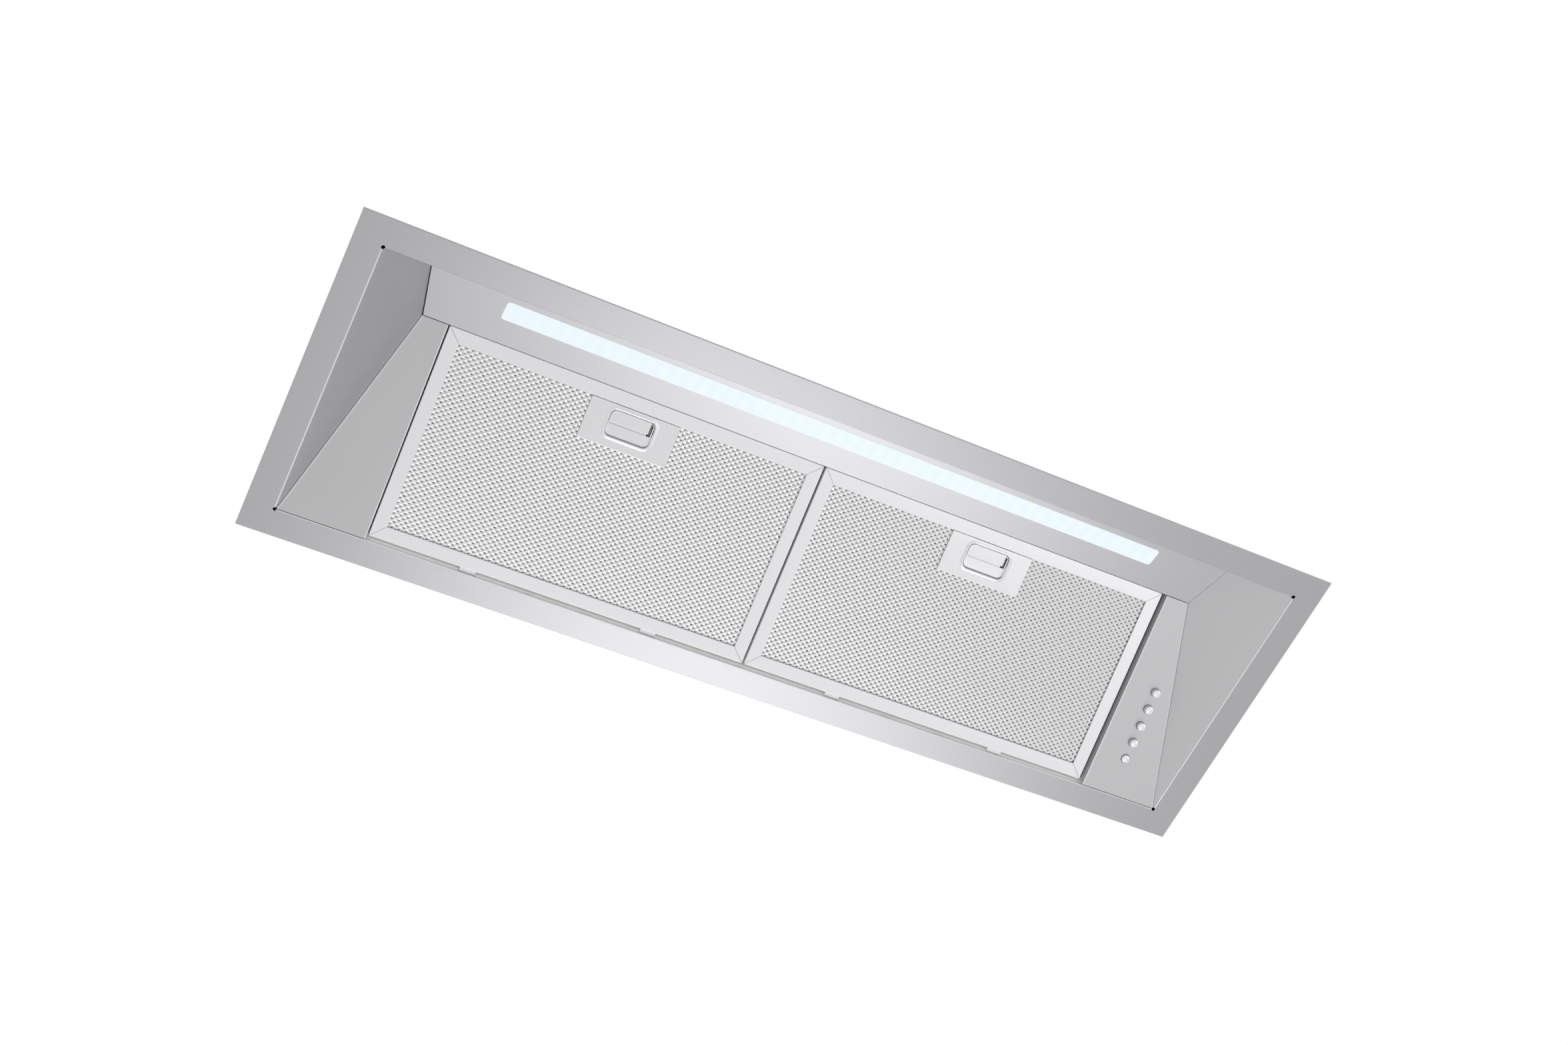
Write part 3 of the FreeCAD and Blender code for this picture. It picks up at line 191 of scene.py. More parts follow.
def ease(piece, bm, width, special=None, segments=2, sharp=25):
    """Rounds a piece's sharp edges by width, less where the sheet is thin, and gives it smooth normals.
    special(middle of edge, direction) may give an edge a width of its own, or None."""
    weights = bm.edges.layers.float.new("bevel_weight_edge")
    wanted = {}
    for edge in bm.edges:
        if len(edge.link_faces) != 2 or edge.calc_face_angle(0) < math.radians(sharp):
            continue
        middle = (edge.verts[0].co + edge.verts[1].co) / 2
        own = special(middle, (edge.verts[1].co - edge.verts[0].co).normalized()) if special else None
        wanted[edge] = own if own is not None else min(width, 0.4 * room_beside(edge))
    widest = max(wanted.values())
    for edge, reach in wanted.items():
        edge[weights] = reach / widest
    bm.to_mesh(piece.data)
    bm.free()
    bevel = piece.modifiers.new("eased edges", "BEVEL")
    bevel.limit_method = "WEIGHT"
    bevel.width = widest
    bevel.segments = segments
    bevel.use_clamp_overlap = False
    return plain_mesh(piece)


def smooth(piece):
    """Smooth shading that keeps the large faces flat."""
    for face in piece.data.polygons:
        face.use_smooth = True
    piece.data.set_sharp_from_angle(angle=math.radians(50))
    flat = piece.modifiers.new("flat faces", "WEIGHTED_NORMAL")
    flat.keep_sharp = True
    flat.weight = 100
    return plain_mesh(piece)


def lay_grain(piece):
    """A map in metres whose first axis runs across the brushed lines and whose second runs along them."""
    layer = piece.data.uv_layers.new(name="grain")
    for face in piece.data.polygons:
        for loop in face.loop_indices:
            place = piece.data.vertices[piece.data.loops[loop].vertex_index].co
            layer.data[loop].uv = (place.z if abs(face.normal.y) > 0.75 else place.y,
                                   place.z if abs(face.normal.x) > 0.9 else place.x)


def stand_in(piece, body, node):
    """Puts a finished piece on its body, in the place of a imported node."""
    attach(piece, body)
    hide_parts(node)


def effect_group(name, numbers):
    """An empty group of shader nodes with named numbers in, and the sockets of its two ends."""
    group = bpy.data.node_groups.new(name, "ShaderNodeTree")
    for label, value in numbers.items():
        socket = group.interface.new_socket(label, in_out="INPUT", socket_type="NodeSocketFloat")
        socket.default_value = value
    for label in ("Shade", "Roughness", "Height"):
        group.interface.new_socket(label, in_out="OUTPUT", socket_type="NodeSocketFloat")
    return group, group.nodes.new("NodeGroupInput").outputs, group.nodes.new("NodeGroupOutput").inputs


def end_effect(group, ends, shade, roughness, height):
    """Links the three values that every effect gives."""
    for label, value in (("Shade", shade), ("Roughness", roughness), ("Height", height)):
        group.links.new(value, ends[label])


def around_one(tree, value, amount):
    """A noise value from 0 to 1 made a factor that is 1 on average."""
    spread = add_math(tree, "MULTIPLY", add_math(tree, "SUBTRACT", value, 0.5), amount)
    return add_math(tree, "ADD", spread, 1.0)


def two_tones(tree, first, much, second, little):
    """The product of two noise values, each made a factor."""
    return add_math(tree, "MULTIPLY", around_one(tree, first, much), around_one(tree, second, little))


def noise(tree, place, scale, detail=2.0):
    """A smooth noise value from 0 to 1."""
    return add_node(tree, "ShaderNodeTexNoise", {"Vector": place, "Scale": scale, "Detail": detail}).outputs["Fac"]


# Brushed lines: long fine scratches along the grain, with slow changes of tone across the sheet.
brushed, b_in, b_out = effect_group(
    "brushed lines", {"Line length": 0.06, "Line width": 0.0004, "Tone": 0.05, "Clouding": 0.04})
b_scale = add_node(brushed, "ShaderNodeCombineXYZ", {
    "X": add_math(brushed, "DIVIDE", 1.0, b_in["Line width"]),
    "Y": add_math(brushed, "DIVIDE", 1.0, b_in["Line length"])})
b_stretch = add_node(brushed, "ShaderNodeVectorMath", {
    0: add_node(brushed, "ShaderNodeUVMap", uv_map="grain").outputs["UV"], 1: b_scale.outputs[0]},
    operation="MULTIPLY")
b_lines = noise(brushed, b_stretch.outputs[0], 1.0, 3.0)
b_cloud = noise(brushed, brushed.nodes.new("ShaderNodeTexCoord").outputs["Object"], 7.0)
end_effect(brushed, b_out, two_tones(brushed, b_lines, b_in["Tone"], b_cloud, b_in["Clouding"]),
           add_math(brushed, "ADD", add_math(brushed, "MULTIPLY", b_lines, 0.7),
                    add_math(brushed, "MULTIPLY", b_cloud, 0.3)), b_lines)


def new_material(name, colour, metallic, roughness, effect, values, gloss, bump):
    """A material and its shader. An effect group's Shade tones the colour, its Roughness spreads the gloss
    over its range, and its Height dents the surface."""
    material = bpy.data.materials.new(name)
    material.use_nodes = True
    tree = material.node_tree
    shader = tree.nodes["Principled BSDF"]
    shader.inputs["Base Color"].default_value = (*colour, 1)
    shader.inputs["Metallic"].default_value = metallic
    shader.inputs["Roughness"].default_value = roughness
    if effect:
        marks = add_node(tree, "ShaderNodeGroup", values, node_tree=effect).outputs
        tone = add_node(tree, "ShaderNodeMix", {"Factor": 1.0, "A": (*colour, 1), "B": marks["Shade"]},
                        data_type="RGBA", blend_type="MULTIPLY")
        spread = add_node(tree, "ShaderNodeMapRange", {
            "Value": marks["Roughness"], "To Min": gloss[0], "To Max": gloss[1]})
        dent = add_node(tree, "ShaderNodeBump", {
            "Strength": bump[0], "Distance": bump[1], "Height": marks["Height"]})
        for label, value in (("Base Color", tone.outputs["Result"]), ("Roughness", spread.outputs["Result"]),
                             ("Normal", dent.outputs["Normal"])):
            tree.links.new(value, shader.inputs[label])
    return material, shader


def brushed_steel(name, colour, gloss=(0.33, 0.43)):
    """Stainless sheet with its brushed lines along the grain; highlights stretch across them."""
    material, shader = new_material(name, colour, 1.0, 0.33, brushed, {}, gloss, (0.12, 0.00003))
    shader.inputs["Anisotropic"].default_value = 0.6
    tree = material.node_tree
    along = add_node(tree, "ShaderNodeTangent", direction_type="UV_MAP", uv_map="grain")
    tree.links.new(along.outputs["Tangent"], shader.inputs["Tangent"])
    return material


flange_steel = brushed_steel("flange_steel", (0.410, 0.408, 0.424))
# Painted light: the end walls get a lighter copy of the flange steel, so they don't show the darker reflection of
# the recess.
wall_steel = brushed_steel("wall_steel", (0.555, 0.553, 0.565))
# Painted highlight: the end folds get a lighter, rougher copy of the steel as a bright line.
burnished_fold = brushed_steel("burnished_fold", (0.56, 0.56, 0.57), (0.42, 0.52))
# Painted light: a pale, mostly diffuse copy of the steel for folds and returns that sit in shade, so they show
# light grey.
soft_edge = new_material("soft_edge", (0.86, 0.86, 0.87), 0.2, 0.45, brushed, {}, (0.40, 0.50),
                         (0.12, 0.00003))[0]

opening_x = 425 * mm
opening_y = 125 * mm


def canopy_fold(middle, along):
    """The end folds and the rear fold get the bend that the press leaves; the hem is rounder too."""
    low = middle.z < 0.3 * mm
    if low and abs(abs(middle.x) - opening_x) < 0.2 * mm and abs(along.y) > 0.9:
        return 0.9 * mm
    if low and abs(abs(middle.y) - opening_y) < 0.2 * mm and abs(along.x) > 0.9:
        return 0.6 * mm
    if low and (abs(middle.x) > 449.8 * mm or abs(middle.y) > 149.8 * mm):
        return 0.5 * mm
    return None


canopy = new_piece("canopy_sheet", None, flange_steel, burnished_fold, wall_steel, soft_edge)
ease(canopy, joined_copy("canopy_frame"), 0.35 * mm, canopy_fold, 3)
# Faces by place: the end folds get the painted highlight, the rear return and rear fold the pale painted-light
# finish, and the end walls the steel painted lighter.
for face in canopy.data.polygons:
    bend = face.center.z < 0.9 * mm and face.normal.z < 0
    beside_end = abs(abs(face.center.x) - opening_x) < 1.0 * mm and abs(face.center.y) < opening_y - 1.0 * mm
    beside_rear = abs(face.center.y - opening_y) < 1.2 * mm and abs(face.center.x) < opening_x
    face.material_index = 0
    if bend and beside_end and 0.05 < abs(face.normal.x) < 0.68:
        face.material_index = 1
    elif beside_rear and (face.normal.y < -0.5 or bend and face.normal.y < -0.05):
        face.material_index = 3
    elif abs(face.normal.x) > 0.68 and face.normal.z < -0.5:
        face.material_index = 2
smooth(canopy)
lay_grain(canopy)
stand_in(canopy, "canopy", "canopy_frame")

# ------------------------------
# Light panel: a sloping sheet along the front, folded up at both long edges, with the window for the lamp.
# It is pressed from the same brushed sheet and clipped behind the front return; its steel is painted lighter than
# the flange's, and its faces that look to the rear are painted light grey.
panel_steel = brushed_steel("panel_steel", (0.458, 0.455, 0.469))
light_panel = new_piece("light_panel_sheet", None, panel_steel, soft_edge)
ease(light_panel, joined_copy("light_panel"), 0.35 * mm)
# Faces that look to the rear take the pale painted-light finish.
for face in light_panel.data.polygons:
    face.material_index = 1 if face.normal.y > 0.7 else 0
smooth(light_panel)
lay_grain(light_panel)
stand_in(light_panel, "canopy", "light_panel")

# ------------------------------
# Lamp: a long opal lens with rounded corners in the window, and behind it an aluminium channel with a
# white board of diodes. The lamp is lit, so the lens glows evenly with a cool white.
panel_rise = math.atan(14 / 64.5)
panel_sine, panel_cosine = math.sin(panel_rise), math.cos(panel_rise)


def on_panel(x, s, h):
    """A point in the light panel's plane: s forward from the crease, h up into the hood, in millimetres."""
    return Vector((x, -60.5 - s * panel_cosine - h * panel_sine, 54 - s * panel_sine + h * panel_cosine)) * mm


def rounded_ring(centre, half_x, half_y, radius, steps=7):
    """Points round a rectangle with rounded corners, anticlockwise, each corner in as many steps."""
    points = []
    for quarter in range(4):
        sign_x = 1 if quarter in (0, 3) else -1
        sign_y = 1 if quarter in (0, 1) else -1
        for step in range(steps + 1):
            angle = math.pi / 2 * (quarter + step / steps)
            points.append((centre[0] + sign_x * (half_x - radius) + radius * math.cos(angle),
                           centre[1] + sign_y * (half_y - radius) + radius * math.sin(angle)))
    return points


def skin_rings(bm, rings, close_start=True, close_end=True):
    """Faces from ring to ring, and a face over the first and the last."""
    loops = [[bm.verts.new(point) for point in ring] for ring in rings]
    count = len(loops[0])
    faces = []
    for before, after in zip(loops, loops[1:]):
        for place in range(count):
            ahead = (place + 1) % count
            faces.append(bm.faces.new((before[place], before[ahead], after[ahead], after[place])))
    if close_start:
        faces.append(bm.faces.new(list(reversed(loops[0]))))
    if close_end:
        faces.append(bm.faces.new(loops[-1]))
    return faces


def outward(bm):
    """Faces turned outwards after doubles are merged."""
    bmesh.ops.remove_doubles(bm, verts=bm.verts, dist=1e-6)
    bmesh.ops.recalc_face_normals(bm, faces=bm.faces)


lens_half_x = 310.65
lens_half_y = 8.35
lens_middle = 33.3
bm = bmesh.new()
lens_rings = []
for inset, height, corner in ((0.0, -0.38, 2.4), (-0.9, -0.34, 2.6), (-1.25, -0.22, 2.8), (-1.25, -0.03, 2.8),
                              (-0.2, -0.03, 3.0), (0.0, -0.03, 5.65), (0.0, 0.8, 5.65), (-3.7, 0.8, 9.0),
                              (-3.9, 1.0, 9.0), (-3.9, 2.1, 9.0), (-3.7, 2.3, 9.0)):
    ring = rounded_ring((0, lens_middle), lens_half_x - inset, lens_half_y - inset * 0.6, corner)
    lens_rings.append([on_panel(x, s, height) for x, s in ring])
skin_rings(bm, lens_rings)
outward(bm)
opal, opal_shader = new_material("lit_opal", (0.30, 0.32, 0.34), 0.0, 0.34, None, {}, None, None)
opal_tree = opal.node_tree
chips = add_node(opal_tree, "ShaderNodeTexWave", {
    "Scale": 25.0, "Vector": opal_tree.nodes.new("ShaderNodeTexCoord").outputs["Object"]},
    wave_type="BANDS", bands_direction="X")
glow = add_node(opal_tree, "ShaderNodeMix", {
    "A": (0.60, 0.675, 0.745, 1), "B": (0.625, 0.70, 0.77, 1), "Factor": chips.outputs["Fac"]}, data_type="RGBA")
opal_tree.links.new(glow.outputs["Result"], opal_shader.inputs["Emission Color"])
opal_shader.inputs["Emission Strength"].default_value = 1.0
opal_shader.inputs["Specular IOR Level"].default_value = 0.3
lens = new_piece("opal_lens", bm, opal)
smooth(lens)
stand_in(lens, "canopy", "led_diffuser")


def fine_place(tree, size):
    """Object coordinates, plain and divided by the size of a grain."""
    place = tree.nodes.new("ShaderNodeTexCoord").outputs["Object"]
    fine = add_node(tree, "ShaderNodeVectorMath", {0: place, "Scale": add_math(tree, "DIVIDE", 1.0, size)},
                    operation="SCALE")
    return place, fine.outputs[0]


# Satin metal: a soft even grain, used for extruded and rolled aluminium.
satin, s_in, s_out = effect_group("satin grain", {"Grain size": 0.0006, "Tone": 0.05})
s_place, s_fine = fine_place(satin, s_in["Grain size"])
s_grain = noise(satin, s_fine, 1.0)
end_effect(satin, s_out, two_tones(satin, s_grain, s_in["Tone"], noise(satin, s_place, 18.0), 0.03),
           s_grain, s_grain)


def satin_metal(name, colour, gloss, metallic=1.0, grain=0.0006):
    """Metal with an even satin grain."""
    return new_material(name, colour, metallic, sum(gloss) / 2, satin, {"Grain size": grain}, gloss,
                        (0.15, 0.00003))[0]


def paint_node(node, material):
    """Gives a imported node, whose shape is right, its finish."""
    mesh = nodes[node].data
    mesh.materials.clear()
    mesh.materials.append(material)


paint_node("led_channel", satin_metal("mill_aluminium", (0.56, 0.57, 0.58), (0.3, 0.42)))

# Moulded plastic: fine spark-eroded grain with a slight change of tone.
moulded, m_in, m_out = effect_group("moulded grain", {"Grain size": 0.0008, "Tone": 0.12})
m_place, m_fine = fine_place(moulded, m_in["Grain size"])
m_cells = add_node(moulded, "ShaderNodeTexVoronoi", {"Scale": 1.0, "Vector": m_fine}, feature="SMOOTH_F1")
m_pits = m_cells.outputs["Distance"]
end_effect(moulded, m_out, around_one(moulded, noise(moulded, m_place, 22.0, 3.0), m_in["Tone"]), m_pits, m_pits)


def moulded_plastic(name, colour, gloss=(0.42, 0.6), grain=0.0008):
    """Plastic or enamel with a fine moulded grain."""
    return new_material(name, colour, 0.0, sum(gloss) / 2, moulded, {"Grain size": grain}, gloss,
                        (0.25, 0.00006))[0]


paint_node("led_board", moulded_plastic("board_white", (0.80, 0.80, 0.78), (0.25, 0.35)))
paint_node("led_chips", moulded_plastic("phosphor_yellow", (0.90, 0.76, 0.30), (0.2, 0.3)))

# ------------------------------
# Wing panels: sloping fillers between the end walls and the filters, folded up beside the filter and
# rolled back along the end wall. The right one is drilled for the five push buttons.
slope_rise = math.atan(54 / 185.5)
slope_sine, slope_cosine = math.sin(slope_rise), math.cos(slope_rise)
slope_length = 193.2


def on_slope(x, s, h):
    """A point in the filters' plane: s forward from the rear edge, h up into the hood, in millimetres."""
    return Vector((x, 125 - s * slope_cosine + h * slope_sine, s * slope_sine + h * slope_cosine)) * mm


# Painted light: the wings' steel is a lighter copy of the flange steel.
wing_steel = brushed_steel("wing_steel", (0.50, 0.50, 0.51))
wing_sheet = 0.8
wing_inner_x = 347.0
wing_bend = 1.3
# Painted highlight: the bend beside the filter and the rolled edge get a much lighter copy of the steel as bright
# lines.
bright_bend = brushed_steel("bright_bend", (0.70, 0.70, 0.71), (0.36, 0.46))


def wing_section(side, s, fold_height):
    """The sheet's outer line at one place along the slope, from the fold by the filter to the rolled edge."""
    outer_x = 425 - s * slope_sine - 0.9
    roll = min(wing_bend, 0.5 + 0.1 * s)
    points = [(wing_inner_x, fold_height)]
    for step in range(7):
        angle = math.pi / 2 * step / 6
        points.append((wing_inner_x + wing_bend * (1 - math.cos(angle)),
                       wing_bend * (1 - math.sin(angle))))
    points.append((outer_x - roll - 0.3, 0))
    for step in range(8):
        angle = math.radians(-90 + 130 * step / 7)
        points.append((outer_x - roll + roll * math.cos(angle), roll + roll * math.sin(angle)))
    points.append((points[-1][0] - 1.6, points[-1][1] + 1.5))
    return [on_slope(side * x, s, h) for x, h in points]


def face_down(bm):
    """Turns a skin so that its largest face looks down, out of the hood."""
    if max(bm.faces, key=lambda face: face.calc_area()).normal.z > 0:
        bmesh.ops.reverse_faces(bm, faces=bm.faces)


def thicken(piece, sheet):
    """Gives a skin its sheet's thickness, inwards."""
    thick = piece.modifiers.new("sheet", "SOLIDIFY")
    thick.thickness = sheet * mm
    thick.offset = -1.0
    return plain_mesh(piece)


def make_wing(side, name):
    """One wing panel as a folded sheet with its thickness inside the fold."""
    stations = [(0.9, wing_bend + 0.2), (5.4, wing_bend + 0.2), (5.6, 9.0), (14.0, 9.0),
                (slope_length - 0.5, 9.0)]
    bm = bmesh.new()
    rows = [[bm.verts.new(point) for point in wing_section(side, s, fold)] for s, fold in stations]
    for before, after in zip(rows, rows[1:]):
        for place in range(len(before) - 1):
            face = bm.faces.new((before[place], after[place], after[place + 1], before[place + 1]))
            # Faces by place along the section: the vertical fold beside the filter and the end of the roll get the
            # pale painted-light finish, the bend and the roll the painted highlight, and the flat the wing steel.
            face.material_index = 2 if place == 0 or place > 12 else 1 if place > 7 or 3 <= place <= 6 else 0
    for face in bm.faces:
        face.normal_update()
    face_down(bm)
    return thicken(new_piece(name, bm, wing_steel, bright_bend, soft_edge), wing_sheet)


def cut_away(piece, bm):
    """Cuts the shape in bm out of a piece."""
    tool = new_piece("tool", bm)
    cut = piece.modifiers.new("cut", "BOOLEAN")
    cut.operation = "DIFFERENCE"
    cut.solver = "EXACT"
    cut.object = tool
    plain_mesh(piece)
    bpy.data.objects.remove(tool)


def turned(bm, profile, frame_of, steps=40, hollow=False, lobes=0, lobe_depth=0.0):
    """A shape turned about an axis: profile lists (radius, height), frame_of(x, y, height) places a point.
    A hollow one has a bore, and its profile ends where it began."""
    rings = []
    for radius, height in profile:
        ring = []
        for step in range(steps):
            angle = 2 * math.pi * step / steps
            reach = radius * (1 + lobe_depth * math.cos(lobes * angle))
            ring.append(frame_of(reach * math.cos(angle), reach * math.sin(angle), height))
        rings.append(ring)
    skin_rings(bm, rings, not hollow, not hollow)


button_x = 376.5
button_places = {"button_light": 37, "button_off": 54, "button_speed_1": 71, "button_speed_2": 88,
                 "button_speed_3": 105}
left_wing = make_wing(-1, "left_wing_sheet")
right_wing = make_wing(1, "right_wing_sheet")
bm = bmesh.new()
for place in button_places.values():
    turned(bm, [(4.3, -3), (4.3, 3)], lambda x, y, h, s=place: on_slope(button_x + x, s + y, h), 48)
bmesh.ops.recalc_face_normals(bm, faces=bm.faces)
cut_away(right_wing, bm)
for wing, node in ((left_wing, "left_wing_panel"), (right_wing, "right_control_panel")):
    smooth(wing)
    lay_grain(wing)
    stand_in(wing, "canopy", node)

# Push buttons: chromed plungers with a dished and beaded tip; the one nearest the rear is pressed in. They
# run in a black switch block with brass blades and small return springs.
chrome = new_material("button_chrome", (0.80, 0.80, 0.82), 1.0, 0.08, satin,
                      {"Grain size": 0.0015, "Tone": 0.04}, (0.05, 0.13), (0.05, 0.00002))[0]
button_proud, button_travel, button_dish, button_length = 5.2, 3.0, 0.9, 14.2
tip_profile = [(0.0, -0.9), (0.7, -0.85), (1.25, -0.6), (1.5, -0.25), (1.75, 0.15), (2.1, 0.25), (2.35, 0.05),
               (2.55, -0.35), (2.8, -0.6), (3.1, -0.62), (3.45, -0.45), (3.75, 0.0), (3.93, 0.6), (4.0, 1.3),
               (4.0, button_length), (3.7, button_length)]
for name, place in button_places.items():
    start = (button_travel if name == "button_light" else 0.0) - button_proud + button_dish
    bm = bmesh.new()
    profile = [(max(radius, 0.02), start + height - (button_dish if height == button_length else 0))
               for radius, height in tip_profile]
    turned(bm, profile, lambda x, y, h, s=place: on_slope(button_x + x, s + y, h), 36)
    outward(bm)
    button = new_piece(name + "_cap", bm, chrome)
    smooth(button)
    stand_in(button, name.replace("button_", "key_"), name)
black_plastic = moulded_plastic("black_plastic", (0.045, 0.045, 0.05))
spring_steel = satin_metal("spring_steel", (0.58, 0.58, 0.59), (0.2, 0.32), 1.0, 0.0004)
paint_node("switch_block", black_plastic)
paint_node("switch_terminals", satin_metal("brass_blades", (0.72, 0.53, 0.22), (0.22, 0.36)))
slope_along = on_slope(0, 1, 0) - on_slope(0, 0, 0)
slope_up = Vector((0, slope_sine, slope_cosine))
for name, place in button_places.items():
    bm = joined_copy("button_springs")
    others = [vertex for vertex in bm.verts
              if abs((vertex.co - on_slope(0, place, 0)).dot(slope_along)) > 8 * slope_along.length_squared]
    bmesh.ops.delete(bm, geom=others, context="VERTS")
    spring = new_piece(name + "_coil", bm, spring_steel)
    smooth(spring)
    stand_in(spring, "canopy", "button_springs")
    if name != "button_light":
        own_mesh(spring)

# ------------------------------
# Grease filters: each is a mitred channel frame of satin aluminium round three layers of expanded mesh.
# The outer layer's lozenges lie along the hood and the next layer's across it, which gives the moire.
filter_steel = satin_metal("filter_frame_aluminium", (0.765, 0.768, 0.782), (0.30, 0.42), 1.0, 0.0005)
# Painted light: the frames' side faces get a paler, mostly diffuse copy of the aluminium, so the gaps beside the
# filters show light grey rather than shade.
frame_side_painted_light = satin_metal("filter_side_aluminium", (0.85, 0.85, 0.86), (0.38, 0.50), 0.2, 0.0005)
filter_centres = {"left": -174.5, "right": 170.5}
filter_half = 171.5
filter_rear, filter_front = 4.6, 192.6
front_edge = 192.95
rail_width, rail_skin, filter_thick = 12.0, 0.8, 8.5
mitre_gap = 0.12
fold_round, fold_corner = 0.45, 0.13
tongue_low, tongue_high, tongue_half = 2.4, 4.0, 9.4
channel = [(fold_round, 0), (rail_width, 0), (rail_width, rail_skin), (rail_skin, rail_skin),
           (rail_skin, tongue_low), (rail_skin, tongue_high), (rail_skin, filter_thick - rail_skin),
           (rail_width, filter_thick - rail_skin), (rail_width, filter_thick), (fold_round, filter_thick),
           (fold_corner, filter_thick - fold_corner), (0, filter_thick - fold_round), (0, tongue_high),
           (0, tongue_low), (0, fold_round), (fold_corner, fold_corner)]


def mitred_rail(bm, start, end, inward, tongue_slot=False):
    """One rail of a filter frame, its ends cut at 45 degrees; the front one has a slot for the latch tongue."""
    start, end, inward = Vector(start), Vector(end), Vector(inward)
    along = (end - start).normalized()
    middle = (start + end) / 2
    stations = [(start, 1)] + ([(middle - along * tongue_half, 0), (middle + along * tongue_half, 0)]
                               if tongue_slot else []) + [(end, -1)]
    rings = []
    for corner, sign in stations:
        ring = []
        for across, height in channel:
            flat = corner + inward * across + along * sign * (across + mitre_gap)
            ring.append(on_slope(flat.x, flat.y, height))
        rings.append(ring)
    faces = skin_rings(bm, rings)
    if tongue_slot:
        inner, outer = faces[len(channel) + 4], faces[len(channel) + 12]
        i, o = list(inner.verts), list(outer.verts)
        bm.faces.remove(inner)
        bm.faces.remove(outer)
        for wall in ((i[0], o[1], o[2], i[3]), (i[1], o[0], o[3], i[2]), (i[0], i[1], o[0], o[1]),
                     (i[3], i[2], o[3], o[2])):
            bm.faces.new(wall)


def box_between(bm, low, high, place):
    """A plain block between two corners, set by place(x, s, h)."""
    (x0, s0, h0), (x1, s1, h1) = low, high
    rings = [[place(*point) for point in ((x0, s0, h), (x1, s0, h), (x1, s1, h), (x0, s1, h))] for h in (h0, h1)]
    skin_rings(bm, rings)


def add_blocks(piece, *blocks):
    """Adds plain blocks to a piece, each from its low to its high corner on the slope."""
    bm = bmesh.new()
    bm.from_mesh(piece.data)
    for low, high in blocks:
        box_between(bm, low, high, on_slope)
    outward(bm)
    bm.to_mesh(piece.data)
    bm.free()


tab_apart, tab_half, tab_reach = 83, 7, 3.2
tab_level = 1.4 * slope_sine + 4.0 * slope_cosine
for side, centre in filter_centres.items():
    low_x, high_x = centre - filter_half, centre + filter_half
    corners = [(low_x, filter_rear), (high_x, filter_rear), (high_x, front_edge), (low_x, front_edge)]
    inwards = [(0, 1), (-1, 0), (0, -1), (1, 0)]
    bm = bmesh.new()
    for place in range(4):
        mitred_rail(bm, corners[place], corners[(place + 1) % 4], inwards[place], place == 2)
    bmesh.ops.recalc_face_normals(bm, faces=bm.faces)
    filter_frame = new_piece(side + "_filter_channel", None, filter_steel, frame_side_painted_light)
    ease(filter_frame, bm, 0.3 * mm, sharp=50)
    add_blocks(filter_frame, *[((tab - tab_half, -tab_reach, tab_level - rail_skin / 2),
                                (tab + tab_half, filter_rear + 0.6, tab_level + rail_skin / 2))
                               for tab in (centre - tab_apart, centre + tab_apart)])
    # The side faces take the paler painted-light copy, and the faces that look out of the hood take the frame
    # aluminium.
    for face in filter_frame.data.polygons:
        face.material_index = 1 if abs(face.normal.dot(slope_up)) < 0.6 else 0
    smooth(filter_frame)
    stand_in(filter_frame, side + "_filter", side + "_filter_frame")


def new_tree(name, numbers, source=None):
    """A Geometry Nodes tree with named sizes, one material and one mesh out; source names its mesh in."""
    tree = bpy.data.node_groups.new(name, "GeometryNodeTree")
    if source:
        tree.interface.new_socket(source, in_out="INPUT", socket_type="NodeSocketGeometry")
    for label, value in numbers.items():
        kind = "NodeSocketInt" if isinstance(value, int) else "NodeSocketFloat"
        socket = tree.interface.new_socket(label, in_out="INPUT", socket_type=kind)
        socket.default_value = value
    tree.interface.new_socket("Finish", in_out="INPUT", socket_type="NodeSocketMaterial")
    tree.interface.new_socket("Mesh", in_out="OUTPUT", socket_type="NodeSocketGeometry")
    return tree, tree.nodes.new("NodeGroupInput").outputs, tree.nodes.new("NodeGroupOutput").inputs


def grow(name, tree, values, source=None):
    """Runs a Geometry Nodes tree and keeps its result as a plain mesh."""
    piece = new_piece(name)
    piece.data = source or piece.data
    modifier = piece.modifiers.new(name, "NODES")
    modifier.node_group = tree
    for item in tree.interface.items_tree:
        if item.item_type == "SOCKET" and item.in_out == "INPUT" and item.name in values:
            modifier[item.identifier] = values[item.name]
    plain_mesh(piece)
    piece.data.polygons.foreach_set("material_index", [0] * len(piece.data.polygons))
    piece.data.materials.clear()
    piece.data.materials.append(values["Finish"])
    return piece


def end_tree(tree, ends_in, ends_out, geometry):
    """Realize Instances and Set Material, which every tree ends in."""
    real = add_node(tree, "GeometryNodeRealizeInstances", {0: geometry})
    finish = add_node(tree, "GeometryNodeSetMaterial", {"Geometry": real.outputs[0], "Material": ends_in["Finish"]})
    tree.links.new(finish.outputs[0], ends_out["Mesh"])


# Expanded mesh: staggered rows of bent strands, as the slit and stretched sheet has.
expanded, e_in, e_out = new_tree("expanded mesh", {
    "Columns": 53, "Rows": 73, "Pitch": 0.00617, "Row pitch": 0.00235, "Wave": 0.0005, "Strand width": 0.0016,
    "Strand thickness": 0.0004, "Tilt": 0.0, "Twist": 0.2, "Notch from": 0.0, "Notch half": 0.0,
    "Notch along rows": 0})


def e_math(operation, first, second=0.0):
    """A sum in the expanded mesh's tree."""
    return add_math(expanded, operation, first, second)


def e_vector(axis, value):
    """A vector with one value in it."""
    return add_node(expanded, "ShaderNodeCombineXYZ", {axis: value}).outputs[0]


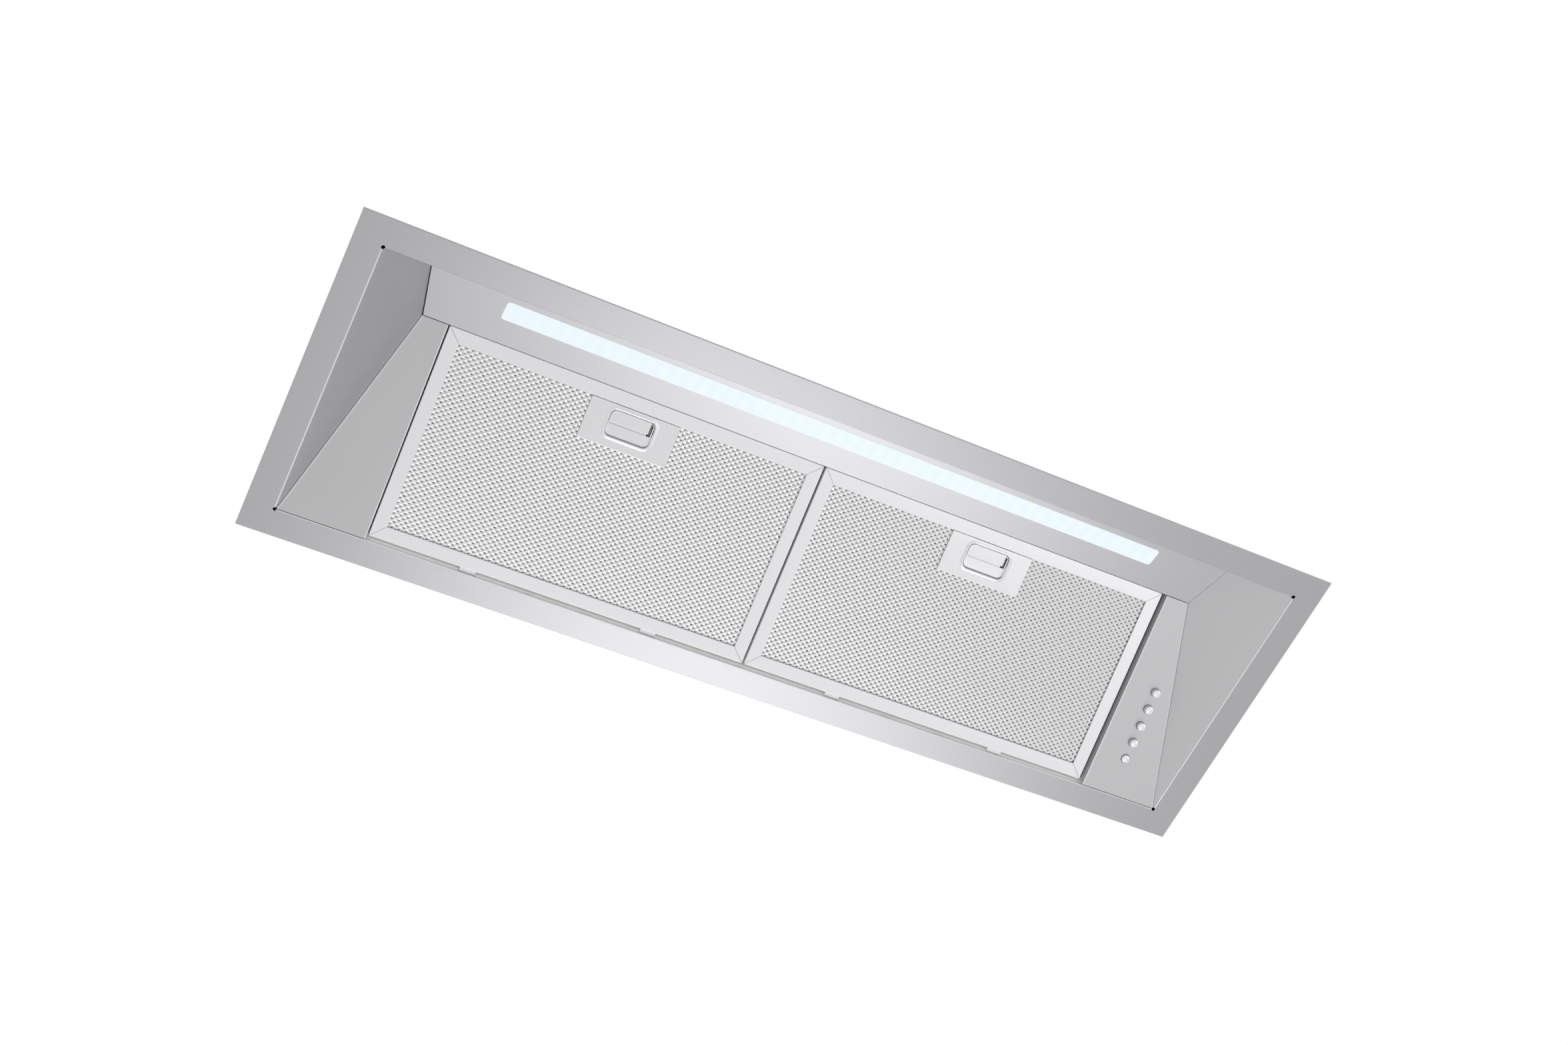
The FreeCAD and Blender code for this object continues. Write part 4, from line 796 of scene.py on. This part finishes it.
quarter = e_math("DIVIDE", e_in["Pitch"], 3.92)
wave_line = add_node(expanded, "GeometryNodeMeshLine", {
    "Count": 5, "Offset": e_vector("X", quarter),
    "Start Location": e_vector("X", e_math("MULTIPLY", quarter, -2.0))})
number = expanded.nodes.new("GeometryNodeInputIndex").outputs[0]
swing = e_math("COSINE", e_math("MULTIPLY", e_math("SUBTRACT", number, 2.0), math.pi / 2))
bend = add_node(expanded, "GeometryNodeSetPosition", {
    "Geometry": wave_line.outputs["Mesh"], "Offset": e_vector("Y", e_math("MULTIPLY", swing, e_in["Wave"]))})
strand = add_node(expanded, "GeometryNodeMeshToCurve", {"Mesh": bend.outputs[0]})
upright = add_node(expanded, "GeometryNodeSetCurveNormal", {"Curve": strand.outputs[0]}, mode="Z_UP")
tilted = add_node(expanded, "GeometryNodeSetCurveTilt", {
    "Curve": upright.outputs[0], "Tilt": e_math("ADD", e_in["Tilt"], e_math("MULTIPLY", swing, e_in["Twist"]))})
blade = add_node(expanded, "GeometryNodeCurvePrimitiveQuadrilateral", {
    "Width": e_in["Strand width"], "Height": e_in["Strand thickness"]})
solid = add_node(expanded, "GeometryNodeCurveToMesh", {
    "Curve": tilted.outputs[0], "Profile Curve": blade.outputs[0], "Fill Caps": True})
crisp = add_node(expanded, "GeometryNodeSetShadeSmooth", {0: solid.outputs[0], "Shade Smooth": False})
spans = [e_math("MULTIPLY", e_math("SUBTRACT", e_in[count], 1.0), e_in[pitch])
         for count, pitch in (("Columns", "Pitch"), ("Rows", "Row pitch"))]
field = add_node(expanded, "GeometryNodeMeshGrid", {
    "Vertices X": e_in["Columns"], "Vertices Y": e_in["Rows"], "Size X": spans[0], "Size Y": spans[1]})
parts = add_node(expanded, "ShaderNodeSeparateXYZ", {
    0: expanded.nodes.new("GeometryNodeInputPosition").outputs[0]}).outputs
row = e_math("ROUND", e_math("ADD", e_math("DIVIDE", parts["Y"], e_in["Row pitch"]), 1000.0))
odd = e_math("MODULO", row, 2.0)
shift = e_math("MULTIPLY", e_math("SUBTRACT", odd, 0.5), e_math("MULTIPLY", e_in["Pitch"], 0.5))
stagger = add_node(expanded, "GeometryNodeSetPosition", {
    "Geometry": field.outputs["Mesh"], "Offset": e_vector("X", shift)})
along_x, across_x = [add_node(expanded, "GeometryNodeSwitch", {
    "Switch": e_in["Notch along rows"], "False": parts[straight], "True": parts[other]},
    input_type="FLOAT").outputs[0] for straight, other in ("XY", "YX")]
inside = e_math("LESS_THAN", e_math("ABSOLUTE", along_x), e_in["Notch half"])
beyond = e_math("GREATER_THAN", across_x, e_in["Notch from"])
clear = add_node(expanded, "GeometryNodeDeleteGeometry", {
    "Geometry": stagger.outputs[0], "Selection": e_math("MULTIPLY", inside, beyond)}, domain="POINT")
spread = add_node(expanded, "GeometryNodeInstanceOnPoints", {
    "Points": clear.outputs[0], "Instance": crisp.outputs[0]})
end_tree(expanded, e_in, e_out, spread.outputs[0])

mesh_bright = satin_metal("outer_mesh_aluminium", (0.67, 0.67, 0.68), (0.24, 0.38), 1.0, 0.0005)
# Painted light: the core and back layers get a paler, mostly diffuse copy of the aluminium, so the holes don't show
# the shade deep in the mesh.
inner_mesh_painted_light = satin_metal("inner_mesh_aluminium", (0.92, 0.92, 0.925), (0.3, 0.45), 0.3, 0.0005)
mesh_middle = (filter_rear + filter_front) / 2
notch_half = 23.0
notch_from = 151.0 - mesh_middle
wide_lozenges = {"Columns": 53, "Rows": 73, "Pitch": 0.00617, "Row pitch": 0.00235, "Wave": 0.0007,
                 "Strand width": 0.00215, "Strand thickness": 0.0004, "Tilt": -0.06, "Twist": -0.2}
fine_lozenges = {"Columns": 29, "Rows": 169, "Pitch": 0.00602, "Row pitch": 0.00191, "Wave": 0.0004,
                 "Strand width": 0.0014, "Strand thickness": 0.0004, "Tilt": -0.2, "Twist": 0.1}
layers = {"outer": (1.45, mesh_bright, wide_lozenges), "core": (3.0, inner_mesh_painted_light, fine_lozenges),
          "back": (6.9, inner_mesh_painted_light, wide_lozenges)}
for side, centre in filter_centres.items():
    for layer, (height, finish, values) in layers.items():
        turned_round = layer == "core"
        layer_mesh = grow("%s_filter_%s_strands" % (side, layer), expanded, {
            **values, "Finish": finish, "Notch half": 0.0 if layer == "back" else notch_half * mm,
            "Notch from": notch_from * mm, "Notch along rows": 1 if turned_round else 0})
        for vertex in layer_mesh.data.vertices:
            x, y, z = vertex.co / mm
            if turned_round:
                x, y = y, x
            vertex.co = on_slope(centre + x, mesh_middle + y, height + z)
        if not turned_round:
            layer_mesh.data.flip_normals()
        layer_mesh.data.update()
        stand_in(layer_mesh, side + "_filter", "%s_filter_%s_mesh" % (side, layer))

# ------------------------------
# Filter latches: a pressed plate with a raised rim round its finger recess, a slider bent from strip in the
# front half of the recess, and a coil spring beside it that shows in the slot at its right end.
latch_steel = satin_metal("latch_plate_steel", (0.715, 0.71, 0.725), (0.22, 0.34), 1.0, 0.0005)
latch_rear, latch_front = 142.6, 180.6
recess_middle = 164.4
recess_half_x, recess_half_y, recess_corner = 20.0, 11.5, 5.0
spring_offset = 17.9
rim_profile = [(3.6, 0.0), (2.9, -0.08), (2.2, -0.34), (1.6, -0.56), (1.0, -0.56), (0.5, -0.34), (0.1, 0.1),
               (-0.15, 0.6), (-0.25, 1.0), (-0.6, 1.42), (-1.1, 1.6)]
slot_outline = [(-18.6, 163.2), (18.6, 163.2), (18.6, 174.4), (16.2, 174.4), (16.2, 165.0), (3.9, 165.0),
                (3.9, 172.5), (-3.9, 172.5), (-3.9, 165.0), (-18.6, 165.0)]
for side, centre in filter_centres.items():
    rings = []
    outer_middle = (latch_rear + latch_front) / 2
    for inset, height in ((0.0, 0.8), (0.0, 0.5), (0.12, 0.2), (0.35, 0.05), (0.7, 0.0)):
        rings.append((rounded_ring((centre, outer_middle), 40.5 - inset, 19.0 - inset, 1.1), height))
    for out, height in rim_profile:
        rings.append((rounded_ring((centre, recess_middle), recess_half_x + out, recess_half_y + out,
                                   recess_corner + out), height))
    rings = [[on_slope(x, s, height) for x, s in ring] for ring, height in rings]
    bm = bmesh.new()
    skin_rings(bm, rings, False, False)
    floor_edges = []
    slot = [on_slope(centre + x, s, rim_profile[-1][1]) for x, s in slot_outline]
    for outline in (rings[-1], slot):
        loop = [bm.verts.new(point) for point in outline]
        floor_edges += [bm.edges.new((loop[place - 1], loop[place])) for place in range(len(loop))]
    bmesh.ops.triangle_fill(bm, use_beauty=True, use_dissolve=False, edges=floor_edges)
    outward(bm)
    face_down(bm)
    plate = thicken(new_piece(side + "_latch_pressing", bm, latch_steel), 0.55)
    spring_line = centre + spring_offset
    add_blocks(plate, ((spring_line - 2, 162.2, 1.5), (spring_line + 2, 163.0, 6.0)))
    smooth(plate)
    stand_in(plate, side + "_filter", side + "_latch_plate")
    slider = new_piece(side + "_latch_strip", None, latch_steel)
    ease(slider, joined_copy(side + "_latch_slider"), 0.3 * mm)
    add_blocks(slider, ((centre - 18.9, 160.5, 2.9), (centre + 15.4, 166.4, 3.3)))
    smooth(slider)
    stand_in(slider, side + "_latch", side + "_latch_slider")

# Coil spring: a wire drawn round a helix.
coiled, c_in, c_out = new_tree("coil spring", {"Turns": 7.0, "Radius": 0.0014, "Length": 0.01, "Wire": 0.0004})
helix = add_node(coiled, "GeometryNodeCurveSpiral", {
    "Resolution": 20, "Rotations": c_in["Turns"], "Start Radius": c_in["Radius"], "End Radius": c_in["Radius"],
    "Height": c_in["Length"]})
wire = add_node(coiled, "GeometryNodeCurvePrimitiveCircle", {"Resolution": 10, "Radius": c_in["Wire"]})
drawn = add_node(coiled, "GeometryNodeCurveToMesh", {
    "Curve": helix.outputs[0], "Profile Curve": wire.outputs[0], "Fill Caps": True})
end_tree(coiled, c_in, c_out, drawn.outputs[0])
spring_rear, spring_level = 164.0, 4.6
for side, centre in filter_centres.items():
    spring = grow(side + "_latch_coil", coiled, {"Turns": 7.0, "Length": 9.9 * mm, "Finish": spring_steel})
    for vertex in spring.data.vertices:
        x, y, z = vertex.co / mm
        vertex.co = on_slope(centre + spring_offset + x, spring_rear + z, spring_level + y)
    for face in spring.data.polygons:
        face.use_smooth = True
    stand_in(spring, side + "_filter", side + "_latch_spring")
    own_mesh(spring)

# ------------------------------
# Galvanised pieces: the slotted rail that the filters hang in, the lower housing with its end plates, the
# blower case and its cover, and small brackets, all folded from zinc-coated sheet with its spangle.
spangle, z_in, z_out = effect_group("zinc spangle", {"Spangle size": 0.012, "Tone": 0.22})
z_place, z_fine = fine_place(spangle, z_in["Spangle size"])
z_cells = add_node(spangle, "ShaderNodeTexVoronoi", {"Scale": 1.0, "Vector": z_fine})
z_tone = add_node(spangle, "ShaderNodeSeparateColor", {0: z_cells.outputs["Color"]}).outputs
z_grain = noise(spangle, z_place, 260.0, 3.0)
end_effect(spangle, z_out, two_tones(spangle, z_tone[0], z_in["Tone"], z_grain, 0.08), z_tone[1], z_grain)
galvanised = new_material("galvanised", (0.50, 0.52, 0.53), 1.0, 0.42, spangle, {}, (0.34, 0.5),
                          (0.15, 0.00004))[0]
# Painted light: the rail's zinc is near white and glows faintly, which lifts the shade in the narrow gap behind the
# filters.
dull_zinc, rail_glow_shader = new_material("dull_zinc", (0.95, 0.95, 0.94), 0.0, 0.5, spangle, {"Tone": 0.06},
                                      (0.45, 0.55), (0.1, 0.00004))
rail_glow_shader.inputs["Emission Color"].default_value = (1.0, 0.98, 0.95, 1.0)
rail_glow_shader.inputs["Emission Strength"].default_value = 0.2


def eased_node(node, name, width, finish, body):
    """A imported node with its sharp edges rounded, on its body in the node's place."""
    piece = new_piece(name, None, finish)
    ease(piece, joined_copy(node), width * mm)
    smooth(piece)
    stand_in(piece, body, node)


# The rail takes the glowing painted-light zinc.
eased_node("rear_filter_rail", "rear_filter_rail_sheet", 0.3, dull_zinc, "canopy")
for node, width in (("housing_wrap", 1.0), ("left_end_plate", 0.3), ("right_end_plate", 0.3),
                    ("blower_case", 0.8), ("blower_cover", 0.8)):
    eased_node(node, node + "_sheet", width, galvanised, "canopy")
for node in ("switch_bracket", "motor_bracket"):
    paint_node(node, galvanised)

# Leaf springs on the end plates: bent strips that grip the sides of the cut-out.
clip_steel = satin_metal("clip_steel", (0.52, 0.52, 0.54), (0.24, 0.36))
eased_node("spring_clips", "clip_leaves", 0.3, clip_steel, "canopy")

# ------------------------------
# Blower: two moulded scroll halves round a double-inlet wheel, the motor in the left inlet on its
# three-arm bracket and rubber bushes, and the lead from the motor.
motor_enamel = moulded_plastic("motor_enamel", (0.11, 0.12, 0.13), (0.3, 0.42), 0.0012)
for node, finish in (("scroll_left_half", black_plastic), ("scroll_right_half", black_plastic),
                     ("impeller", black_plastic), ("motor_case", motor_enamel), ("motor_shaft", spring_steel),
                     ("motor_bushes", moulded_plastic("rubber", (0.03, 0.03, 0.03), (0.6, 0.8)))):
    paint_node(node, finish)
cable_sheath = moulded_plastic("cable_grey", (0.28, 0.29, 0.30), (0.35, 0.5), 0.0005)
for node in ("switch_cable", "led_cable", "motor_cable"):
    paint_node(node, cable_sheath)

# ------------------------------
# Outlet collar with its damper: a round moulded spigot on a square base, and two flaps that hang on a
# steel pin across it.
flap_plastic = moulded_plastic("flap_plastic", (0.16, 0.16, 0.17))
for node, finish, slot, body, width in (
        ("outlet_collar", black_plastic, "black_plastic", "canopy", 0.5),
        ("damper_flap_front", flap_plastic, "flap_plastic", "front_flap", 0.25),
        ("damper_flap_rear", flap_plastic, "flap_plastic", "rear_flap", 0.25)):
    eased_node(node, node + "_moulding", width, finish, body)
paint_node("damper_pin", spring_steel)

# ------------------------------
# Electrics: a moulded box with its lid on the deck, a gland for the mains cable, and inside it the
# terminal block, the capacitor and the lamp's driver.
box_plastic = moulded_plastic("box_plastic", (0.19, 0.20, 0.21), (0.4, 0.55), 0.0010)
for node in ("control_box", "control_box_lid"):
    eased_node(node, node + "_moulding", 0.6, box_plastic, "canopy")
terminal_plastic = moulded_plastic("terminal_plastic", (0.80, 0.80, 0.78), (0.3, 0.42))
for node in ("terminal_block", "run_capacitor", "led_driver"):
    paint_node(node, terminal_plastic)


def along_gland(x, y, h):
    """A point about the gland's axis, h out of the box's end wall."""
    return Vector((324 + h, x, 132 + y)) * mm


bm = bmesh.new()
turned(bm, [(4.0, 0.0), (8.8, 0.0), (9.0, 0.3), (9.0, 5.8), (4.0, 5.8), (4.0, 0.0)], along_gland, 48, True)
turned(bm, [(4.7, 5.8), (10.9, 5.8), (11.4, 6.2), (11.4, 8.7), (10.9, 9.0), (4.7, 9.0), (4.7, 5.8)],
       along_gland, 6, True)
turned(bm, [(4.0, 9.0), (8.7, 9.0), (8.85, 9.6), (8.85, 14.2), (8.2, 15.6), (7.2, 16.0), (4.0, 16.0), (4.0, 9.0)],
       along_gland, 72, True, 18, 0.012)
outward(bm)
gland = new_piece("gland_body", bm, black_plastic)
smooth(gland)
stand_in(gland, "canopy", "cable_gland")

# ------------------------------
# Sheet-metal screws: zinc-plated pan heads with a cross recess, one mesh repeated at each seat.
screw_parts = bmesh.new()
screw_parts.from_mesh(nodes["sheet_metal_screws"].data)
bmesh.ops.remove_doubles(screw_parts, verts=screw_parts.verts, dist=2e-6)
left_over = set(screw_parts.verts)
seats = []
while left_over:
    group = {left_over.pop()}
    front = set(group)
    while front:
        front = {edge.other_vert(vertex) for vertex in front for edge in vertex.link_edges} - group
        group |= front
    left_over -= group
    low = Vector([min(vertex.co[axis] for vertex in group) for axis in range(3)])
    high = Vector([max(vertex.co[axis] for vertex in group) for axis in range(3)])
    middle, size = (low + high) / 2, high - low
    if abs(size.x - size.y) < 0.1 * mm:
        seats.append((Vector((middle.x, middle.y, high.z)), Vector((0, 0, 1)), size))
    else:
        out = 1 if middle.x > 0 else -1
        seats.append((Vector((high.x if out > 0 else low.x, middle.y, middle.z)), Vector((out, 0, 0)), size))
screw_parts.free()
seats.sort(key=lambda seat: tuple(round(value / mm) for value in seat[0]))
head_radius = min(seats[0][2].x, seats[0][2].y) / 2 / mm
screw_length = max(seats[0][2]) / mm
bm = bmesh.new()
turned(bm, [(0.02, 0.0), (head_radius * 0.45, -0.05), (head_radius * 0.78, -0.3), (head_radius * 0.95, -0.8),
            (head_radius, -1.3), (head_radius, -2.0), (1.5, -2.0), (1.5, 0.6 - screw_length), (0.5, -screw_length)],
       lambda x, y, h: Vector((x, y, h)) * mm, 24)
outward(bm)
unit = new_piece("screw_unit", bm)
tool = bmesh.new()
for long_x, long_y in ((1.7, 0.42), (0.42, 1.7)):
    box_between(tool, (-long_x, -long_y, -1.1), (long_x, long_y, 1.0), lambda x, y, h: Vector((x, y, h)) * mm)
bmesh.ops.recalc_face_normals(tool, faces=tool.faces)
cut_away(unit, tool)
smooth(unit)
screwed, w_in, w_out = new_tree("screws", {"Turn": 0.6}, "Seats")
screwed.interface.new_socket("Screw", in_out="INPUT", socket_type="NodeSocketObject")
outside = add_node(screwed, "GeometryNodeInputNamedAttribute", {"Name": "outward"}, data_type="FLOAT_VECTOR")
heading = add_node(screwed, "FunctionNodeAlignRotationToVector", {"Vector": outside.outputs["Attribute"]}, axis="Z")
shape = add_node(screwed, "GeometryNodeObjectInfo", {"Object": w_in["Screw"]})
driven = add_node(screwed, "GeometryNodeInstanceOnPoints", {
    "Points": w_in["Seats"], "Instance": shape.outputs["Geometry"], "Rotation": heading.outputs[0]})
count = screwed.nodes.new("GeometryNodeInputIndex").outputs[0]
spin = add_node(screwed, "ShaderNodeCombineXYZ", {"Z": add_math(screwed, "MULTIPLY", count, w_in["Turn"])})
turned_screws = add_node(screwed, "GeometryNodeRotateInstances", {
    "Instances": driven.outputs[0], "Rotation": spin.outputs[0], "Local Space": True})
end_tree(screwed, w_in, w_out, turned_screws.outputs[0])
seat_mesh = bpy.data.meshes.new("screw_seats")
seat_mesh.from_pydata([seat for seat, out, size in seats], [], [])
facing = seat_mesh.attributes.new("outward", "FLOAT_VECTOR", "POINT")
for place, (seat, out, size) in enumerate(seats):
    facing.data[place].vector = out
zinc = satin_metal("zinc_screws", (0.60, 0.61, 0.62), (0.2, 0.34), 1.0, 0.0006)
screws = grow("zinc_screw_set", screwed, {"Turn": 0.7, "Screw": unit, "Finish": zinc}, seat_mesh)
bpy.data.objects.remove(unit)
stand_in(screws, "canopy", "sheet_metal_screws")
